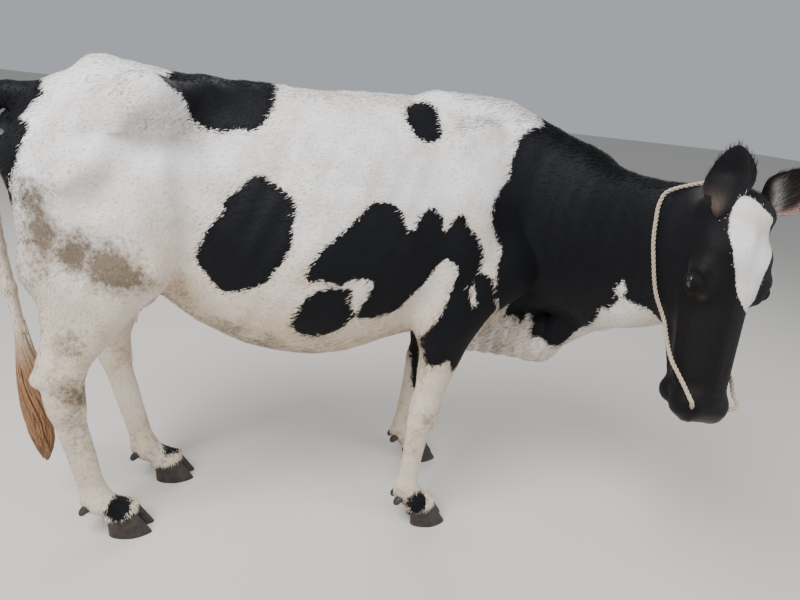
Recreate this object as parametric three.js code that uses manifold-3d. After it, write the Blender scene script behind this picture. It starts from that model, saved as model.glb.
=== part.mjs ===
// Standing dairy cow, life size, as a still museum model.
// Millimetres, +X towards the cow's chest, +Y to its left, +Z up, floor at Z = 0.
// The flesh is one smooth body: a barrel-shaped trunk and rounded bones and muscles that melt
// together. Each limb is lofted ring by ring out to that body's surface, the lofts are joined,
// and thin cuts part the whole into the pieces that a person would name.
import * as THREE from 'three';
import { mergeVertices } from 'three/addons/utils/BufferGeometryUtils.js';
import Module from 'manifold-3d';

const wasm = await Module();
wasm.setup();

// ---- driving dimensions ----
const gap = 0.3;            // clearance left by every cut
const earClearance = 3;     // room left in the neck and head behind an ear
const withersTop = 1298;    // height of the withers
const headYaw = 86;         // degrees the head is turned to the cow's right
const headPitch = 76;       // degrees the face hangs below level
const headRoll = 0;         // degrees of roll about the head's length
const headTilt = -7;        // degrees the nose swings back towards the body
const headScale = 1.04;     // all the head's sizes
const headStretch = 1.07;   // length of the head beside its other sizes
const pollAt = [862, -622, 1184]; // highest point of the skull, between the ears
const eyeRadius = 18;
const clawLength = 118;
const clawWidth = 49;
const coronetHeight = 62;   // at the middle of the claw
const coronetSlope = 0.28;  // the coronet rises towards the toe
const ropeRadius = 5;
const switchLength = 415;   // brush of long hair at the tail's end
const hindInside = 72;      // inner face of the hind limb's cut, from the middle plane
const foreInside = 88;
const earLength = 132;
const earWidth = 102;

// ---- small vector helpers ----
const vec = (x, y, z) => new THREE.Vector3(x, y, z);
const from = (list) => new THREE.Vector3(...list);
const mix = (a, b, t) => a + (b - a) * t;
const shift = (point, x, y, z) => [point[0] + x, point[1] + y, point[2] + z];
const between = (a, b, t) => a.map((value, i) => mix(value, b[i], t));

// ---- trunk: one row for each station along the spine ----
// x, top line, underline, half width, height of the widest point, fullness above, fullness below
const trunkRows = [
  [-735, 1165, 1020, 45, 1090, 2.0, 2.0],   // root of the tail
  [-690, 1202, 930, 85, 1080, 2.0, 2.0],    // pin bones
  [-620, 1243, 840, 125, 1060, 2.0, 2.0],
  [-540, 1292, 770, 160, 1050, 1.9, 2.2],   // sacrum
  [-420, 1266, 700, 190, 1020, 1.8, 2.2],   // hip bones
  [-300, 1267, 612, 205, 940, 1.6, 2.2],    // hollow of the flank
  [-180, 1275, 560, 240, 860, 1.6, 2.2],
  [-50, 1271, 538, 268, 830, 1.75, 2.2],    // deepest part of the belly
  [80, 1279, 543, 268, 830, 1.8, 2.2],
  [200, 1284, 580, 240, 850, 1.75, 2.2],
  [320, withersTop - 4, 605, 200, 880, 1.7, 2.2],
  [420, withersTop, 600, 170, 900, 1.6, 2.1], // withers
  [520, 1289, 600, 150, 920, 1.8, 2.0],
  [600, 1268, 620, 120, 930, 2.0, 2.0],     // base of the neck
  [680, 1225, 680, 80, 930, 2.0, 2.0],
];

function trunkRow(x) {
  // smooth curve through the stations, level with the chord of its neighbours at each one
  const last = trunkRows.length - 1;
  let k = 0;
  while (k < last - 1 && x > trunkRows[k + 1][0]) k += 1;
  const span = trunkRows[k + 1][0] - trunkRows[k][0];
  const t = (x - trunkRows[k][0]) / span;
  const slope = (i, column) => {
    const a = trunkRows[Math.max(i - 1, 0)];
    const b = trunkRows[Math.min(i + 1, last)];
    return (b[column] - a[column]) / (b[0] - a[0]);
  };
  return [1, 2, 3, 4, 5, 6].map((column) => {
    const rise = trunkRows[k + 1][column] - trunkRows[k][column];
    const m0 = slope(k, column) * span;
    const m1 = slope(k + 1, column) * span;
    return trunkRows[k][column] + m0 * t + (3 * rise - 2 * m0 - m1) * t * t
      + (m0 + m1 - 2 * rise) * t * t * t;
  });
}

function trunkField(p) {
  // negative inside, positive outside, about millimetres near the surface
  const x = THREE.MathUtils.clamp(p.x, trunkRows[0][0], trunkRows.at(-1)[0]);
  const [top, under, half, wide, above, below] = trunkRow(x);
  const dz = p.z - wide;
  const reach = dz > 0 ? top - wide : wide - under;
  const power = dz > 0 ? above : below;
  const ratio = ((Math.abs(p.y) / half) ** power + (Math.abs(dz) / reach) ** power) ** (1 / power);
  const spoke = Math.hypot(p.y, dz);
  const inner = -Math.min(half, reach);
  const f = ratio > 1e-6 ? Math.max(spoke * (1 - 1 / ratio), inner) : inner;
  const past = Math.abs(p.x - x);
  return past > 0 ? Math.hypot(Math.max(f, 0), past) : f;
}

// ---- bones and muscles: tapered round bars, some flattened along one direction ----
const flesh = [];

function bar(group, a, b, radiusA, radiusB, blend, flat = null, ratio = 1) {
  const start = from(a);
  const along = from(b).sub(start);
  flesh.push({
    group, start, along, radiusA, radiusB, blend, ratio,
    lengthSq: Math.max(along.lengthSq(), 1e-6),
    flat: flat ? from(flat).normalize() : null,
    middle: start.clone().addScaledVector(along, 0.5),
    reach: along.length() / 2 + Math.max(radiusA, radiusB) + blend,
  });
}

const offset = new THREE.Vector3();

function barField(part, p) {
  offset.subVectors(p, part.start);
  const t = THREE.MathUtils.clamp(offset.dot(part.along) / part.lengthSq, 0, 1);
  offset.addScaledVector(part.along, -t);
  if (part.flat) offset.addScaledVector(part.flat, offset.dot(part.flat) * (1 / part.ratio - 1));
  return offset.length() - mix(part.radiusA, part.radiusB, t);
}

function melt(a, b, width) {
  const h = Math.max(width - Math.abs(a - b), 0) / width;
  return Math.min(a, b) - h * h * width * 0.25;
}

function bodyField(p, groups) {
  let f = groups.includes('trunk') ? trunkField(p) : 1000;
  for (const part of flesh) {
    if (groups.includes(part.group) && part.middle.distanceTo(p) < part.reach + 60) {
      f = melt(f, barField(part, p), part.blend);
    }
  }
  return f;
}

const sideways = [0, 1, 0];

for (const side of [-1, 1]) {
  bar('trunk', [-430, side * 172, 1216], [-380, side * 190, 1204], 38, 34, 90);     // hip bone
  bar('trunk', [-405, side * 190, 1228], [-300, side * 60, 1236], 26, 20, 60);
  bar('trunk', [-450, side * 10, 1210], [-425, side * 150, 1210], 42, 34, 50);       // croup
  bar('trunk', [-600, side * 20, 1176], [-640, side * 85, 1112], 46, 48, 50);
  bar('trunk', [-690, side * 95, 1078], [-714, side * 100, 1040], 32, 29, 50);       // pin bone
  bar('trunk', [-415, side * 196, 1225], [-690, side * 100, 1072], 22, 27, 70);
  bar('trunk', [-530, side * 162, 1020], [-500, side * 170, 950], 65, 60, 60);       // hip joint
  bar('trunk', [430, side * 85, 1190], [530, side * 135, 880], 50, 85, 60, [0, 1, 0.1 * side], 0.75);
  bar('trunk', [360, side * 100, 1160], [420, side * 140, 900], 45, 75, 60);         // shoulder blade
}
bar('trunk', [-560, 0, 1248], [-300, 0, 1230], 30, 26, 40);                          // sacrum and loin
bar('trunk', [300, 0, 1264], [520, 0, 1258], 30, 30, 50);                            // withers
bar('trunk', [-600, 0, 1200], [-735, 0, 1168], 38, 31, 30);                          // tail head
bar('neck', [440, 0, 670], [650, -30, 700], 90, 110, 60, sideways, 0.8);             // brisket
bar('neck', [480, 0, 590], [720, -90, 598], 62, 66, 40, sideways, 0.6);

// ---- legs: joints from the hip or shoulder down to the coronet ----
const hindLegs = {
  right: {
    side: -1, hip: [-530, -150, 1000], stifle: [-435, -195, 800], hock: [-632, -165, 505],
    point: [-702, -165, 503], fetlock: [-574, -136, 110], coronet: [-502, -132, 62],
  },
  left: {
    side: 1, hip: [-530, 150, 1000], stifle: [-410, 195, 800], hock: [-575, 150, 505],
    point: [-644, 150, 503], fetlock: [-484, 118, 110], coronet: [-408, 116, 62],
  },
};
const foreLegs = {
  right: {
    side: -1, shoulder: [535, -165, 840], elbow: [325, -165, 680], knee: [338, -170, 390],
    fetlock: [325, -165, 110], coronet: [385, -165, 62],
  },
  left: {
    side: 1, shoulder: [550, 165, 840], elbow: [365, 165, 680], knee: [412, 175, 388],
    fetlock: [388, 178, 110], coronet: [452, 178, 62],
  },
};

function foot(group, leg) {
  bar(group, shift(leg.fetlock, -4, 0, 8), shift(leg.fetlock, 4, 0, -8), 39, 38, 30, sideways, 0.9);
  bar(group, shift(leg.fetlock, 8, 0, -10), shift(leg.coronet, -2, 0, 0), 33, 40, 20, sideways, 1.05);
  bar(group, shift(leg.coronet, -30, 0, -22), shift(leg.coronet, 0, 0, -16), 32, 38, 20, sideways, 1.2);
}

function hindLeg(group, leg) {
  const { side, hip, stifle, hock, point, fetlock } = leg;
  const calf = between(stifle, hock, 0.5);
  const shank = shift(hock, 0, 0, -50);
  bar(group, shift(hip, 90, 0, 20), shift(stifle, 0, 0, 30), 100, 72, 60, sideways, 0.75);
  bar(group, shift(hip, -50, -side * 10, 0), shift(calf, -20, 0, 130), 110, 74, 60, sideways, 0.7);
  bar(group, shift(hip, -138, -side * 45, 10), shift(hock, -18, -side * 15, 285), 62, 55, 60, sideways, 0.9);
  bar(group, shift(hock, -18, -side * 15, 285), shift(hock, -4, -side * 8, 185), 52, 34, 50, sideways, 0.85);
  bar(group, shift(stifle, -20, 0, 0), shift(hock, 22, 0, 40), 74, 40, 50, sideways, 0.75);
  bar(group, shift(calf, -45, 0, 95), shift(hock, 5, 0, 60), 58, 32, 50, sideways, 0.7);
  bar(group, shift(hock, 2, 0, 190), shift(point, 14, 0, 0), 27, 15, 30, sideways, 0.8); // tendon
  bar(group, shift(hock, 2, 0, 20), shift(hock, 6, 0, -85), 54, 50, 30, sideways, 0.68);
  bar(group, hock, shift(point, 14, 0, -2), 30, 17, 30);                                // hock point
  bar(group, shift(shank, -5, 0, 0), shift(fetlock, -3, 0, 0), 46, 37, 20, sideways, 0.62); // cannon
  foot(group, leg);
}

function foreLeg(group, leg) {
  const { side, shoulder, elbow, knee, fetlock } = leg;
  bar(group, shoulder, shift(elbow, 60, 0, 30), 82, 75, 60, sideways, 0.75);
  bar(group, [400, side * 130, 1020], shift(elbow, 10, 0, 30), 85, 55, 60, sideways, 0.7);
  bar(group, shift(elbow, 62, 0, 20), shift(knee, 10, 0, 70), 84, 48, 50, sideways, 0.72);
  bar(group, shift(elbow, -15, 0, 30), shift(elbow, 20, 0, -40), 35, 40, 40);
  bar(group, shift(knee, 4, 0, 20), shift(knee, 6, 0, -25), 52, 47, 30, sideways, 0.82);
  bar(group, shift(knee, -6, 0, -30), shift(fetlock, -5, 0, 0), 40, 33, 20, sideways, 0.7); // cannon
  foot(group, leg);
}

for (const [name, leg] of Object.entries(hindLegs)) hindLeg(`hind_${name}`, leg);
for (const [name, leg] of Object.entries(foreLegs)) foreLeg(`fore_${name}`, leg);

// ---- neck: flattened lengths that sweep to the right ----
const neckRows = [ // centre, half depth, half thickness
  { at: [420, 0, 980], deep: 280, thick: 130 },
  { at: [560, -25, 978], deep: 286, thick: 125 },
  { at: [670, -110, 968], deep: 252, thick: 110 },
  { at: [735, -225, 960], deep: 212, thick: 95 },
  { at: [768, -340, 975], deep: 186, thick: 86 },
  { at: [790, -460, 1015], deep: 152, thick: 80 },
  { at: [805, -560, 1065], deep: 118, thick: 78 },
];
for (let i = 0; i + 1 < neckRows.length; i += 1) {
  const a = neckRows[i];
  const b = neckRows[i + 1];
  const across = from(b.at).sub(from(a.at)).cross(vec(0, 0, 1));
  bar('neck', a.at, b.at, a.deep, b.deep, 30, across.toArray(), a.thick / a.deep);
}

// ---- head: its own frame of length (poll to nose), height (off the face) and left ----
const yaw = THREE.MathUtils.degToRad(headYaw);
const pitch = THREE.MathUtils.degToRad(headPitch);
const headBasis = new THREE.Matrix4();
{
  const ahead = vec(Math.cos(yaw), -Math.sin(yaw), 0);
  const left = vec(Math.sin(yaw), Math.cos(yaw), 0);
  const length = ahead.clone().multiplyScalar(Math.cos(pitch)).add(vec(0, 0, -Math.sin(pitch)));
  const height = ahead.clone().multiplyScalar(Math.sin(pitch)).add(vec(0, 0, Math.cos(pitch)));
  height.applyAxisAngle(length, -THREE.MathUtils.degToRad(headRoll));
  left.applyAxisAngle(length, -THREE.MathUtils.degToRad(headRoll));
  length.applyAxisAngle(height, THREE.MathUtils.degToRad(headTilt));
  left.applyAxisAngle(height, THREE.MathUtils.degToRad(headTilt));
  headBasis.makeBasis(length, height, left);
  headBasis.scale(vec(headScale * headStretch, headScale, headScale));
  headBasis.setPosition(from(pollAt));
}
const onHead = (along, off, left) => vec(along, off, left).applyMatrix4(headBasis);
const headTurn = (x, y, z) => vec(x, y, z).transformDirection(headBasis).toArray();

function headBar(a, b, radiusA, radiusB, blend, flat = null, ratio = 1) {
  bar('head', onHead(...a).toArray(), onHead(...b).toArray(), radiusA * headScale,
    radiusB * headScale, blend, flat ? headTurn(...flat) : null, ratio);
}

headBar([42, -66, -34], [42, -66, 34], 50, 50, 30);            // poll
headBar([60, -80, 0], [170, -80, 0], 84, 76, 30);              // skull
headBar([125, -45, -48], [125, -45, 48], 44, 44, 30);          // forehead
headBar([160, -62, 0], [400, -54, 0], 63, 44, 30);             // bridge of the nose
headBar([426, -62, -24], [426, -62, 24], 46, 46, 20);          // muzzle
headBar([412, -116, -20], [412, -116, 20], 36, 36, 20);        // chin
for (const side of [-1, 1]) {
  headBar([168, -42, side * 77], [194, -48, side * 74], 30, 27, 30);   // brow over the eye
  headBar([120, -130, side * 42], [225, -130, side * 36], 52, 42, 30); // cheek
  headBar([95, -185, side * 38], [360, -118, side * 22], 31, 27, 30);  // lower jaw
  headBar([200, -88, side * 36], [370, -76, side * 30], 42, 36, 30);
  headBar([45, -60, side * 68], [38, -58, side * 84], 30, 24, 20);     // base of the ear
}
bar('neck', [782, -290, 780], onHead(245, -180, 0).toArray(), 48, 36, 60);             // throat
bar('neck', [720, -90, 610], [800, -250, 755], 55, 38, 60);                           // dewlap

// ---- meshes ----
function closedSurface(rings, wrap = false) {
  // a tube of rings with the same number of points, its ends closed by fans to their middles
  const around = rings[0].length;
  const position = [];
  const index = [];
  for (const ring of rings) for (const p of ring) position.push(p.x, p.y, p.z);
  const at = (row, k) => row * around + (k % around);
  const rows = wrap ? rings.length : rings.length - 1;
  for (let row = 0; row < rows; row += 1) {
    const next = (row + 1) % rings.length;
    for (let k = 0; k < around; k += 1) {
      index.push(at(row, k), at(row, k + 1), at(next, k + 1));
      index.push(at(row, k), at(next, k + 1), at(next, k));
    }
  }
  if (!wrap) {
    for (const row of [0, rings.length - 1]) {
      const middle = rings[row].reduce((sum, p) => sum.add(p), vec(0, 0, 0)).divideScalar(around);
      const centre = position.length / 3;
      position.push(middle.x, middle.y, middle.z);
      for (let k = 0; k < around; k += 1) {
        if (row === 0) index.push(centre, at(row, k + 1), at(row, k));
        else index.push(centre, at(row, k), at(row, k + 1));
      }
    }
  }
  const geometry = new THREE.BufferGeometry();
  geometry.setAttribute('position', new THREE.Float32BufferAttribute(position, 3));
  geometry.setIndex(index);
  return geometry;
}

function toSolid(geometry) {
  const plain = geometry.clone();
  plain.deleteAttribute('normal');
  plain.deleteAttribute('uv');
  const merged = mergeVertices(plain, 1e-3);
  const vertProperties = new Float32Array(merged.attributes.position.array);
  let triVerts = new Uint32Array(merged.index.array);
  let volume = 0;
  const corner = [vec(0, 0, 0), vec(0, 0, 0), vec(0, 0, 0)];
  for (let i = 0; i < triVerts.length; i += 3) {
    for (let k = 0; k < 3; k += 1) corner[k].fromArray(vertProperties, 3 * triVerts[i + k]);
    volume += corner[0].dot(corner[1].clone().cross(corner[2]));
  }
  if (volume < 0) triVerts = triVerts.reverse();
  return new wasm.Manifold(new wasm.Mesh({ numProp: 3, vertProperties, triVerts }));
}

function toGeometry(solid) {
  const mesh = solid.getMesh();
  const geometry = new THREE.BufferGeometry();
  geometry.setAttribute('position', new THREE.BufferAttribute(new Float32Array(mesh.vertProperties), 3));
  geometry.setIndex(new THREE.BufferAttribute(new Uint32Array(mesh.triVerts), 1));
  geometry.computeVertexNormals();
  return geometry;
}

function surfaceDistance(origin, direction, groups, reach) {
  // walk out along the spoke to the first crossing, then halve the step
  const step = 5;
  const p = new THREE.Vector3();
  let low = 0;
  while (low < reach && bodyField(p.copy(origin).addScaledVector(direction, low + step), groups) < 0) {
    low += step;
  }
  let high = low + step;
  for (let i = 0; i < 10; i += 1) {
    const middle = (low + high) / 2;
    if (bodyField(p.copy(origin).addScaledVector(direction, middle), groups) < 0) low = middle;
    else high = middle;
  }
  return Math.min(low, reach);
}

function spokeRing(centre, across, upward, around, groups, reachOf, crowd = 0, lift = 0) {
  // lift above 0 gathers the spokes at the top of the ring, crowd at its top and bottom
  const ring = [];
  for (let k = 0; k < around; k += 1) {
    const even = (2 * Math.PI * k) / around;
    const angle = even + crowd * Math.sin(2 * even) + lift * (Math.cos(even) - 1);
    const direction = across.clone().multiplyScalar(Math.cos(angle))
      .addScaledVector(upward, Math.sin(angle));
    const reach = typeof reachOf === 'function' ? reachOf(direction) : reachOf;
    const distance = Math.max(surfaceDistance(centre, direction, groups, reach), 2);
    ring.push(centre.clone().addScaledVector(direction, distance));
  }
  return ring;
}

const xAxis = vec(1, 0, 0);
const yAxis = vec(0, 1, 0);
const zAxis = vec(0, 0, 1);
const trunkStations = [-748, -738, -712, -672, -628, -580, -535, -495, -462, -434, -406, -382, -362, -342, -315,
  -270, -200, -115, -30, 60, 145, 210, 255, 300, 345, 390, 440, 490, 540, 590, 640];

const allGroups = ['trunk', 'hind_right', 'hind_left', 'fore_right', 'fore_left', 'neck'];

function trunkLoft() {
  // spokes that run down a limb stop below the cut that parts it
  const rings = trunkStations.map((x) => {
    const height = x < -300 ? mix(940, 1110, (-300 - x) / 450) : 940;
    const floor = x < -330 || x > 240 ? 600 : 0;
    const reachOf = (direction) => (direction.z < -0.2 && Math.abs(direction.y) > 0.2
      ? (height - floor) / -direction.z : 500);
    return spokeRing(vec(x, 0, height), yAxis, zAxis, 28, allGroups, reachOf, 0.05, 0.32);
  });
  return toSolid(closedSurface(rings));
}

function alongJoints(joints, z) {
  // joints run downwards, and the centre line is straight between them
  let k = 0;
  while (k < joints.length - 2 && z < joints[k + 1][2]) k += 1;
  const t = (joints[k][2] - z) / (joints[k][2] - joints[k + 1][2]);
  const p = between(joints[k], joints[k + 1], THREE.MathUtils.clamp(t, 0, 1));
  return vec(p[0], p[1], z);
}

function legLoft(group, leg, joints, heights, widest, inside) {
  // level rings, which stop at the inner face of the limb's cut
  const rings = heights.map((z) => {
    const centre = alongJoints(joints, z);
    const inner = Math.abs(centre.y) - inside + 2;
    const reachOf = (direction) => {
      const inward = -direction.y * leg.side;
      return inward > 0.01 ? Math.min(widest, inner / inward) : widest;
    };
    return spokeRing(centre, xAxis, yAxis, 12, ['trunk', group], reachOf);
  });
  return toSolid(closedSurface(rings));
}

const hindHeights = [950, 890, 830, 770, 715, 665, 620, 580, 545, 515, 494, 465, 430, 385, 270,
  145, 112, 88, 60, 35];
const foreHeights = [840, 780, 730, 685, 640, 580, 510, 450, 415, 385, 355, 320, 230, 145, 112, 88, 60, 35];

function hindLoft(name, leg) {
  const joints = [shift(leg.hip, 0, leg.side * 10, 60), shift(leg.stifle, -110, 0, 0),
    shift(leg.hock, 0, 0, 0), leg.fetlock, shift(leg.coronet, -8, 0, 0), shift(leg.coronet, -8, 0, -40)];
  return legLoft(`hind_${name}`, leg, joints, hindHeights, 200, hindInside);
}

function foreLoft(name, leg) {
  const joints = [shift(leg.shoulder, -100, -leg.side * 10, 100), shift(leg.elbow, 70, 0, 60), leg.knee,
    leg.fetlock, shift(leg.coronet, -8, 0, 0), shift(leg.coronet, -8, 0, -40)];
  return legLoft(`fore_${name}`, leg, joints, foreHeights, 160, foreInside);
}

function neckLoft() {
  const curve = new THREE.CatmullRomCurve3(neckRows.map((row) => from(row.at)));
  const rings = [];
  const count = 13;
  for (let i = 0; i <= count; i += 1) {
    const t = mix(0.02, 1, i / count);
    const centre = curve.getPoint(t);
    const tangent = curve.getTangent(t).setZ(0).normalize();
    const across = vec(0, 0, 1).cross(tangent);
    const reachOf = (direction) => (Math.abs(direction.z) < 0.6 ? 235 : 440);
    rings.push(spokeRing(centre, across, zAxis, 22, [...allGroups, 'head'], reachOf, 0.3));
  }
  return toSolid(closedSurface(rings));
}

const headStations = [-6, 6, 24, 48, 76, 105, 134, 156, 176, 196, 218, 250, 290, 330, 362, 390, 414, 434, 452,
  465, 471];

function headLoft() {
  const height = from(headTurn(0, 1, 0));
  const left = from(headTurn(0, 0, 1));
  const rings = headStations.map((along) => {
    const middle = mix(-85, -70, along / 470);
    return spokeRing(onHead(along, middle, 0), left, height, 24, ['head', 'neck'], 158, -0.12);
  });
  return toSolid(closedSurface(rings));
}

// ---- parts with their own lofts ----
function flatTube(points, radii, around) {
  // a tube along points, its cross-sections square to the path
  const curve = new THREE.CatmullRomCurve3(points.map(from));
  const rings = radii.map(([wide, thick], i) => {
    const t = i / (radii.length - 1);
    const centre = curve.getPointAt(t);
    const tangent = curve.getTangentAt(t);
    const first = vec(0, 1, 0).projectOnPlane(tangent).normalize();
    const second = tangent.clone().cross(first);
    const ring = [];
    for (let k = 0; k < around; k += 1) {
      const angle = (2 * Math.PI * k) / around;
      ring.push(centre.clone().addScaledVector(first, wide * Math.cos(angle))
        .addScaledVector(second, thick * Math.sin(angle)));
    }
    return ring;
  });
  return toSolid(closedSurface(rings));
}

const tailRoot = [-700, 0, 1180];
const tailPath = [tailRoot, [-745, 0, 1180], [-786, 0, 1160], [-808, 0, 1090], [-812, 0, 930], [-804, 0, 800],
  [-788, 0, 690], [-770, 0, 560]];
const tailRadii = [[34, 36], [30, 32], [27, 28], [24, 25], [22, 23], [21, 22], [20, 21], [19, 20], [18, 19], [18, 18],
  [18, 18]];

function brush() {
  const top = [...tailPath.at(-1)];
  top[2] += 12;
  const end = [top[0] + 38, -12, top[2] - switchLength];
  const middle = between(top, end, 0.5);
  const radii = [[17, 17], [24, 22], [32, 28], [38, 33], [42, 36], [43, 37], [38, 33], [27, 24], [9, 9]];
  return flatTube([top, middle, end], radii, 10);
}

function ear(root, along, opening, grow = 0) {
  // a cupped leaf: each section is a flat ellipse bent towards the opening
  const tangent = from(along).normalize();
  const face = from(opening).projectOnPlane(tangent).normalize();
  const across = tangent.clone().cross(face);
  const rings = [];
  const count = 8;
  for (let i = 0; i <= count; i += 1) {
    const t = i / count;
    const half = (earWidth / 2) * Math.sin(Math.PI * (0.13 + 0.87 * t ** 0.9)) ** 0.62 + 2 + grow;
    const thick = mix(15, 3.5, Math.min(1, t * 1.8)) + grow;
    const curl = mix(0.75, 0.3, t);
    const ring = [];
    for (let k = 0; k < 10; k += 1) {
      const angle = (2 * Math.PI * k) / 10;
      const x = half * Math.cos(angle);
      const y = thick * Math.sin(angle) + (curl * x * x) / Math.max(half, 1) - 0.3 * curl * half;
      ring.push(from(root).addScaledVector(tangent, mix(-18 - grow, earLength + grow, t))
        .addScaledVector(across, x).addScaledVector(face, y));
    }
    rings.push(ring);
  }
  return toSolid(closedSurface(rings));
}

function claw(leg, inner) {
  // level rings of a pointed oval, the toe wall leaning back as it rises
  const away = inner ? -leg.side : leg.side;
  const centre = vec(leg.coronet[0] + 16, leg.coronet[1] + away * (clawWidth / 2 + 1.5), 0);
  const rings = [0, 5, 85].map((z) => {
    const rise = z / coronetHeight;
    const long = mix(clawLength / 2, clawLength / 2 - 19, rise) * (z === 0 ? 0.96 : 1);
    const wide = mix(clawWidth / 2, clawWidth / 2 - 2, rise) * (z === 0 ? 0.94 : 1);
    const ring = [];
    for (let k = 0; k < 12; k += 1) {
      const angle = (2 * Math.PI * k) / 12;
      const ahead = Math.cos(angle);
      const narrow = 1 - 0.35 * Math.max(ahead, 0) ** 2;
      const flat = Math.sin(angle) * away < 0 ? 0.92 : 1;
      ring.push(vec(centre.x - 22 * rise + long * ahead,
        centre.y + wide * Math.sin(angle) * narrow * flat - away * 4 * Math.max(ahead, 0), z));
    }
    return ring;
  });
  return toSolid(closedSurface(rings));
}

function dewclaw(leg, inner, grow = 0) {
  const away = inner ? -leg.side : leg.side;
  const root = shift(leg.fetlock, -22, away * 20, -14);
  const tip = shift(leg.fetlock, -52, away * 24, -42);
  const size = (value) => [value + grow, value + grow];
  return flatTube([shift(root, grow, 0, grow), between(root, tip, 0.5), shift(tip, -grow, 0, -grow)],
    [13, 13, 6].map(size), 6);
}

function ball(centre, radius, widthSegments, heightSegments) {
  const geometry = new THREE.SphereGeometry(radius, widthSegments, heightSegments);
  geometry.translate(centre.x, centre.y, centre.z);
  return toSolid(geometry);
}

function udder() {
  const bag = new THREE.SphereGeometry(1, 12, 8);
  bag.scale(122, 84, 94);
  bag.translate(-480, 0, 656);
  let solid = toSolid(bag);
  for (const x of [-510, -435]) {
    for (const side of [-1, 1]) {
      const root = [x, side * 40, 610];
      solid = solid.add(flatTube([root, shift(root, 0, side * 4, -30), shift(root, 0, side * 6, -68)],
        [[13, 13], [12, 12], [8, 8]], 6));
    }
  }
  return solid;
}

function ropeRing(grow) {
  // one loop: through the nose, up both cheeks and over the nape behind the ears
  const half = [ // head frame, right side: length, height, left
    [446, -62, -12], [442, -52, -27], [420, -38, -44], [396, -48, -53], [372, -62, -60], [346, -82, -66],
    [311, -108, -62], [273, -132, -66], [233, -142, -78], [203, -146, -88], [152, -144, -103], [112, -146, -110],
    [70, -150, -110], [35, -152, -104], [8, -146, -92], [-14, -128, -70], [-26, -112, -36]];
  const points = half.map((p) => onHead(...p));
  for (const p of [...half].reverse()) points.push(onHead(p[0], p[1], -p[2]));
  const middle = onHead(200, -80, 0);
  const lifted = points.map((p, i) => {
    if (i < 2 || i > points.length - 3) return p;
    const axis = onHead(half[Math.min(i, points.length - 1 - i)][0], -80, 0);
    const direction = p.clone().sub(axis).normalize();
    const distance = surfaceDistance(axis, direction, ['head', 'neck'], 260);
    return axis.addScaledVector(direction, distance + ropeRadius + 4);
  });
  const curve = new THREE.CatmullRomCurve3(lifted, true);
  const count = 44;
  const rings = [];
  for (let i = 0; i < count; i += 1) {
    const centre = curve.getPointAt(i / count);
    const tangent = curve.getTangentAt(i / count);
    const outward = centre.clone().sub(middle).projectOnPlane(tangent).normalize();
    const other = tangent.clone().cross(outward);
    const ring = [];
    for (let k = 0; k < 6; k += 1) {
      const angle = (2 * Math.PI * k) / 6;
      ring.push(centre.clone().addScaledVector(outward, (ropeRadius + grow) * Math.cos(angle))
        .addScaledVector(other, (ropeRadius + grow) * Math.sin(angle)));
    }
    rings.push(ring);
  }
  return toSolid(closedSurface(rings, true));
}

const hindFold = (leg) => { // corners in X and Z: low rear, low front, high front, high rear
  const front = leg.stifle[0] + 88;
  return [[-770, -20], [front, -20], [front, 690], [-770, 910]];
};
const foreFold = (leg) => {
  const rear = leg.elbow[0] - 54;
  return [[rear, -20], [rear + 215, -20], [rear + 290, 772], [rear, 664]];
};

function limbCut(outline, inside, side, grow) {
  // a prism across the cow: an outline in X and Z, from the inner face outwards
  const far = 420;
  const shape = new THREE.Shape(outline.map(([x, z]) => new THREE.Vector2(x, z)));
  const geometry = new THREE.ExtrudeGeometry(shape, { depth: far - inside + grow, bevelEnabled: false });
  geometry.rotateX(Math.PI / 2);
  geometry.translate(0, side > 0 ? far : -(inside - grow), 0);
  return toSolid(geometry);
}

function grownOutline(corners, grow) {
  // the top line's corners rise and the ends move out by the clearance
  const xs = corners.map((corner) => corner[0]);
  const [rear, front] = [Math.min(...xs), Math.max(...xs)];
  return corners.map(([x, z]) => [x === rear ? x - grow : x === front ? x + grow : x, z > 0 ? z + grow : z]);
}

function parted(solid, point, normal) {
  // the piece on the normal's side and the rest, with the gap between them
  const n = from(normal).normalize();
  const level = n.dot(from(point));
  const back = n.clone().negate();
  return [solid.trimByPlane(n.toArray(), level + gap / 2), solid.trimByPlane(back.toArray(), gap / 2 - level)];
}

// ---- joined body, then thin cuts ----
const [tailBack, tailStub] = parted(flatTube(tailPath, tailRadii, 10), [-750, 0, 1165], [-1, 0, 0]);
const brushCut = [shift(tailPath.at(-1), 0, 0, 6), [0, 0, 1]];
const tailFree = parted(tailBack, ...brushCut)[0];
const [udderStub, udderFree] = parted(udder(), [-450, 0, 684], [0.35, 0, 1]);
const ears = {};
const earRoom = {};
const earFolds = {};
const eyes = {};
for (const [name, side] of [['right', -1], ['left', 1]]) {
  const root = onHead(...(name === 'right' ? [30, -62, -48] : [24, -52, 60])).toArray();
  const along = name === 'right' ? [-0.25, -0.11, 1] : [0.55, -0.45, 0.85];
  const opening = name === 'right' ? [0.55, 0.75, 0.1] : [-0.7, -0.65, 0.2];
  const cut = from(root).addScaledVector(from(along).normalize(), 26).toArray();
  ears[name] = parted(ear(root, along, opening), cut, along);
  earRoom[name] = ear(root, along, opening, earClearance);
  earFolds[name] = parted(earRoom[name], cut, along)[0];
  eyes[name] = onHead(186, -47, side * 92);
}

let trunk = trunkLoft().add(udderStub).add(tailStub);

const group = new THREE.Group();
function addMesh(name, solid, colour, roughness) {
  const material = new THREE.MeshStandardMaterial({ color: colour, roughness, metalness: 0 });
  const mesh = new THREE.Mesh(toGeometry(solid), material);
  mesh.name = name;
  group.add(mesh);
}

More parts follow.
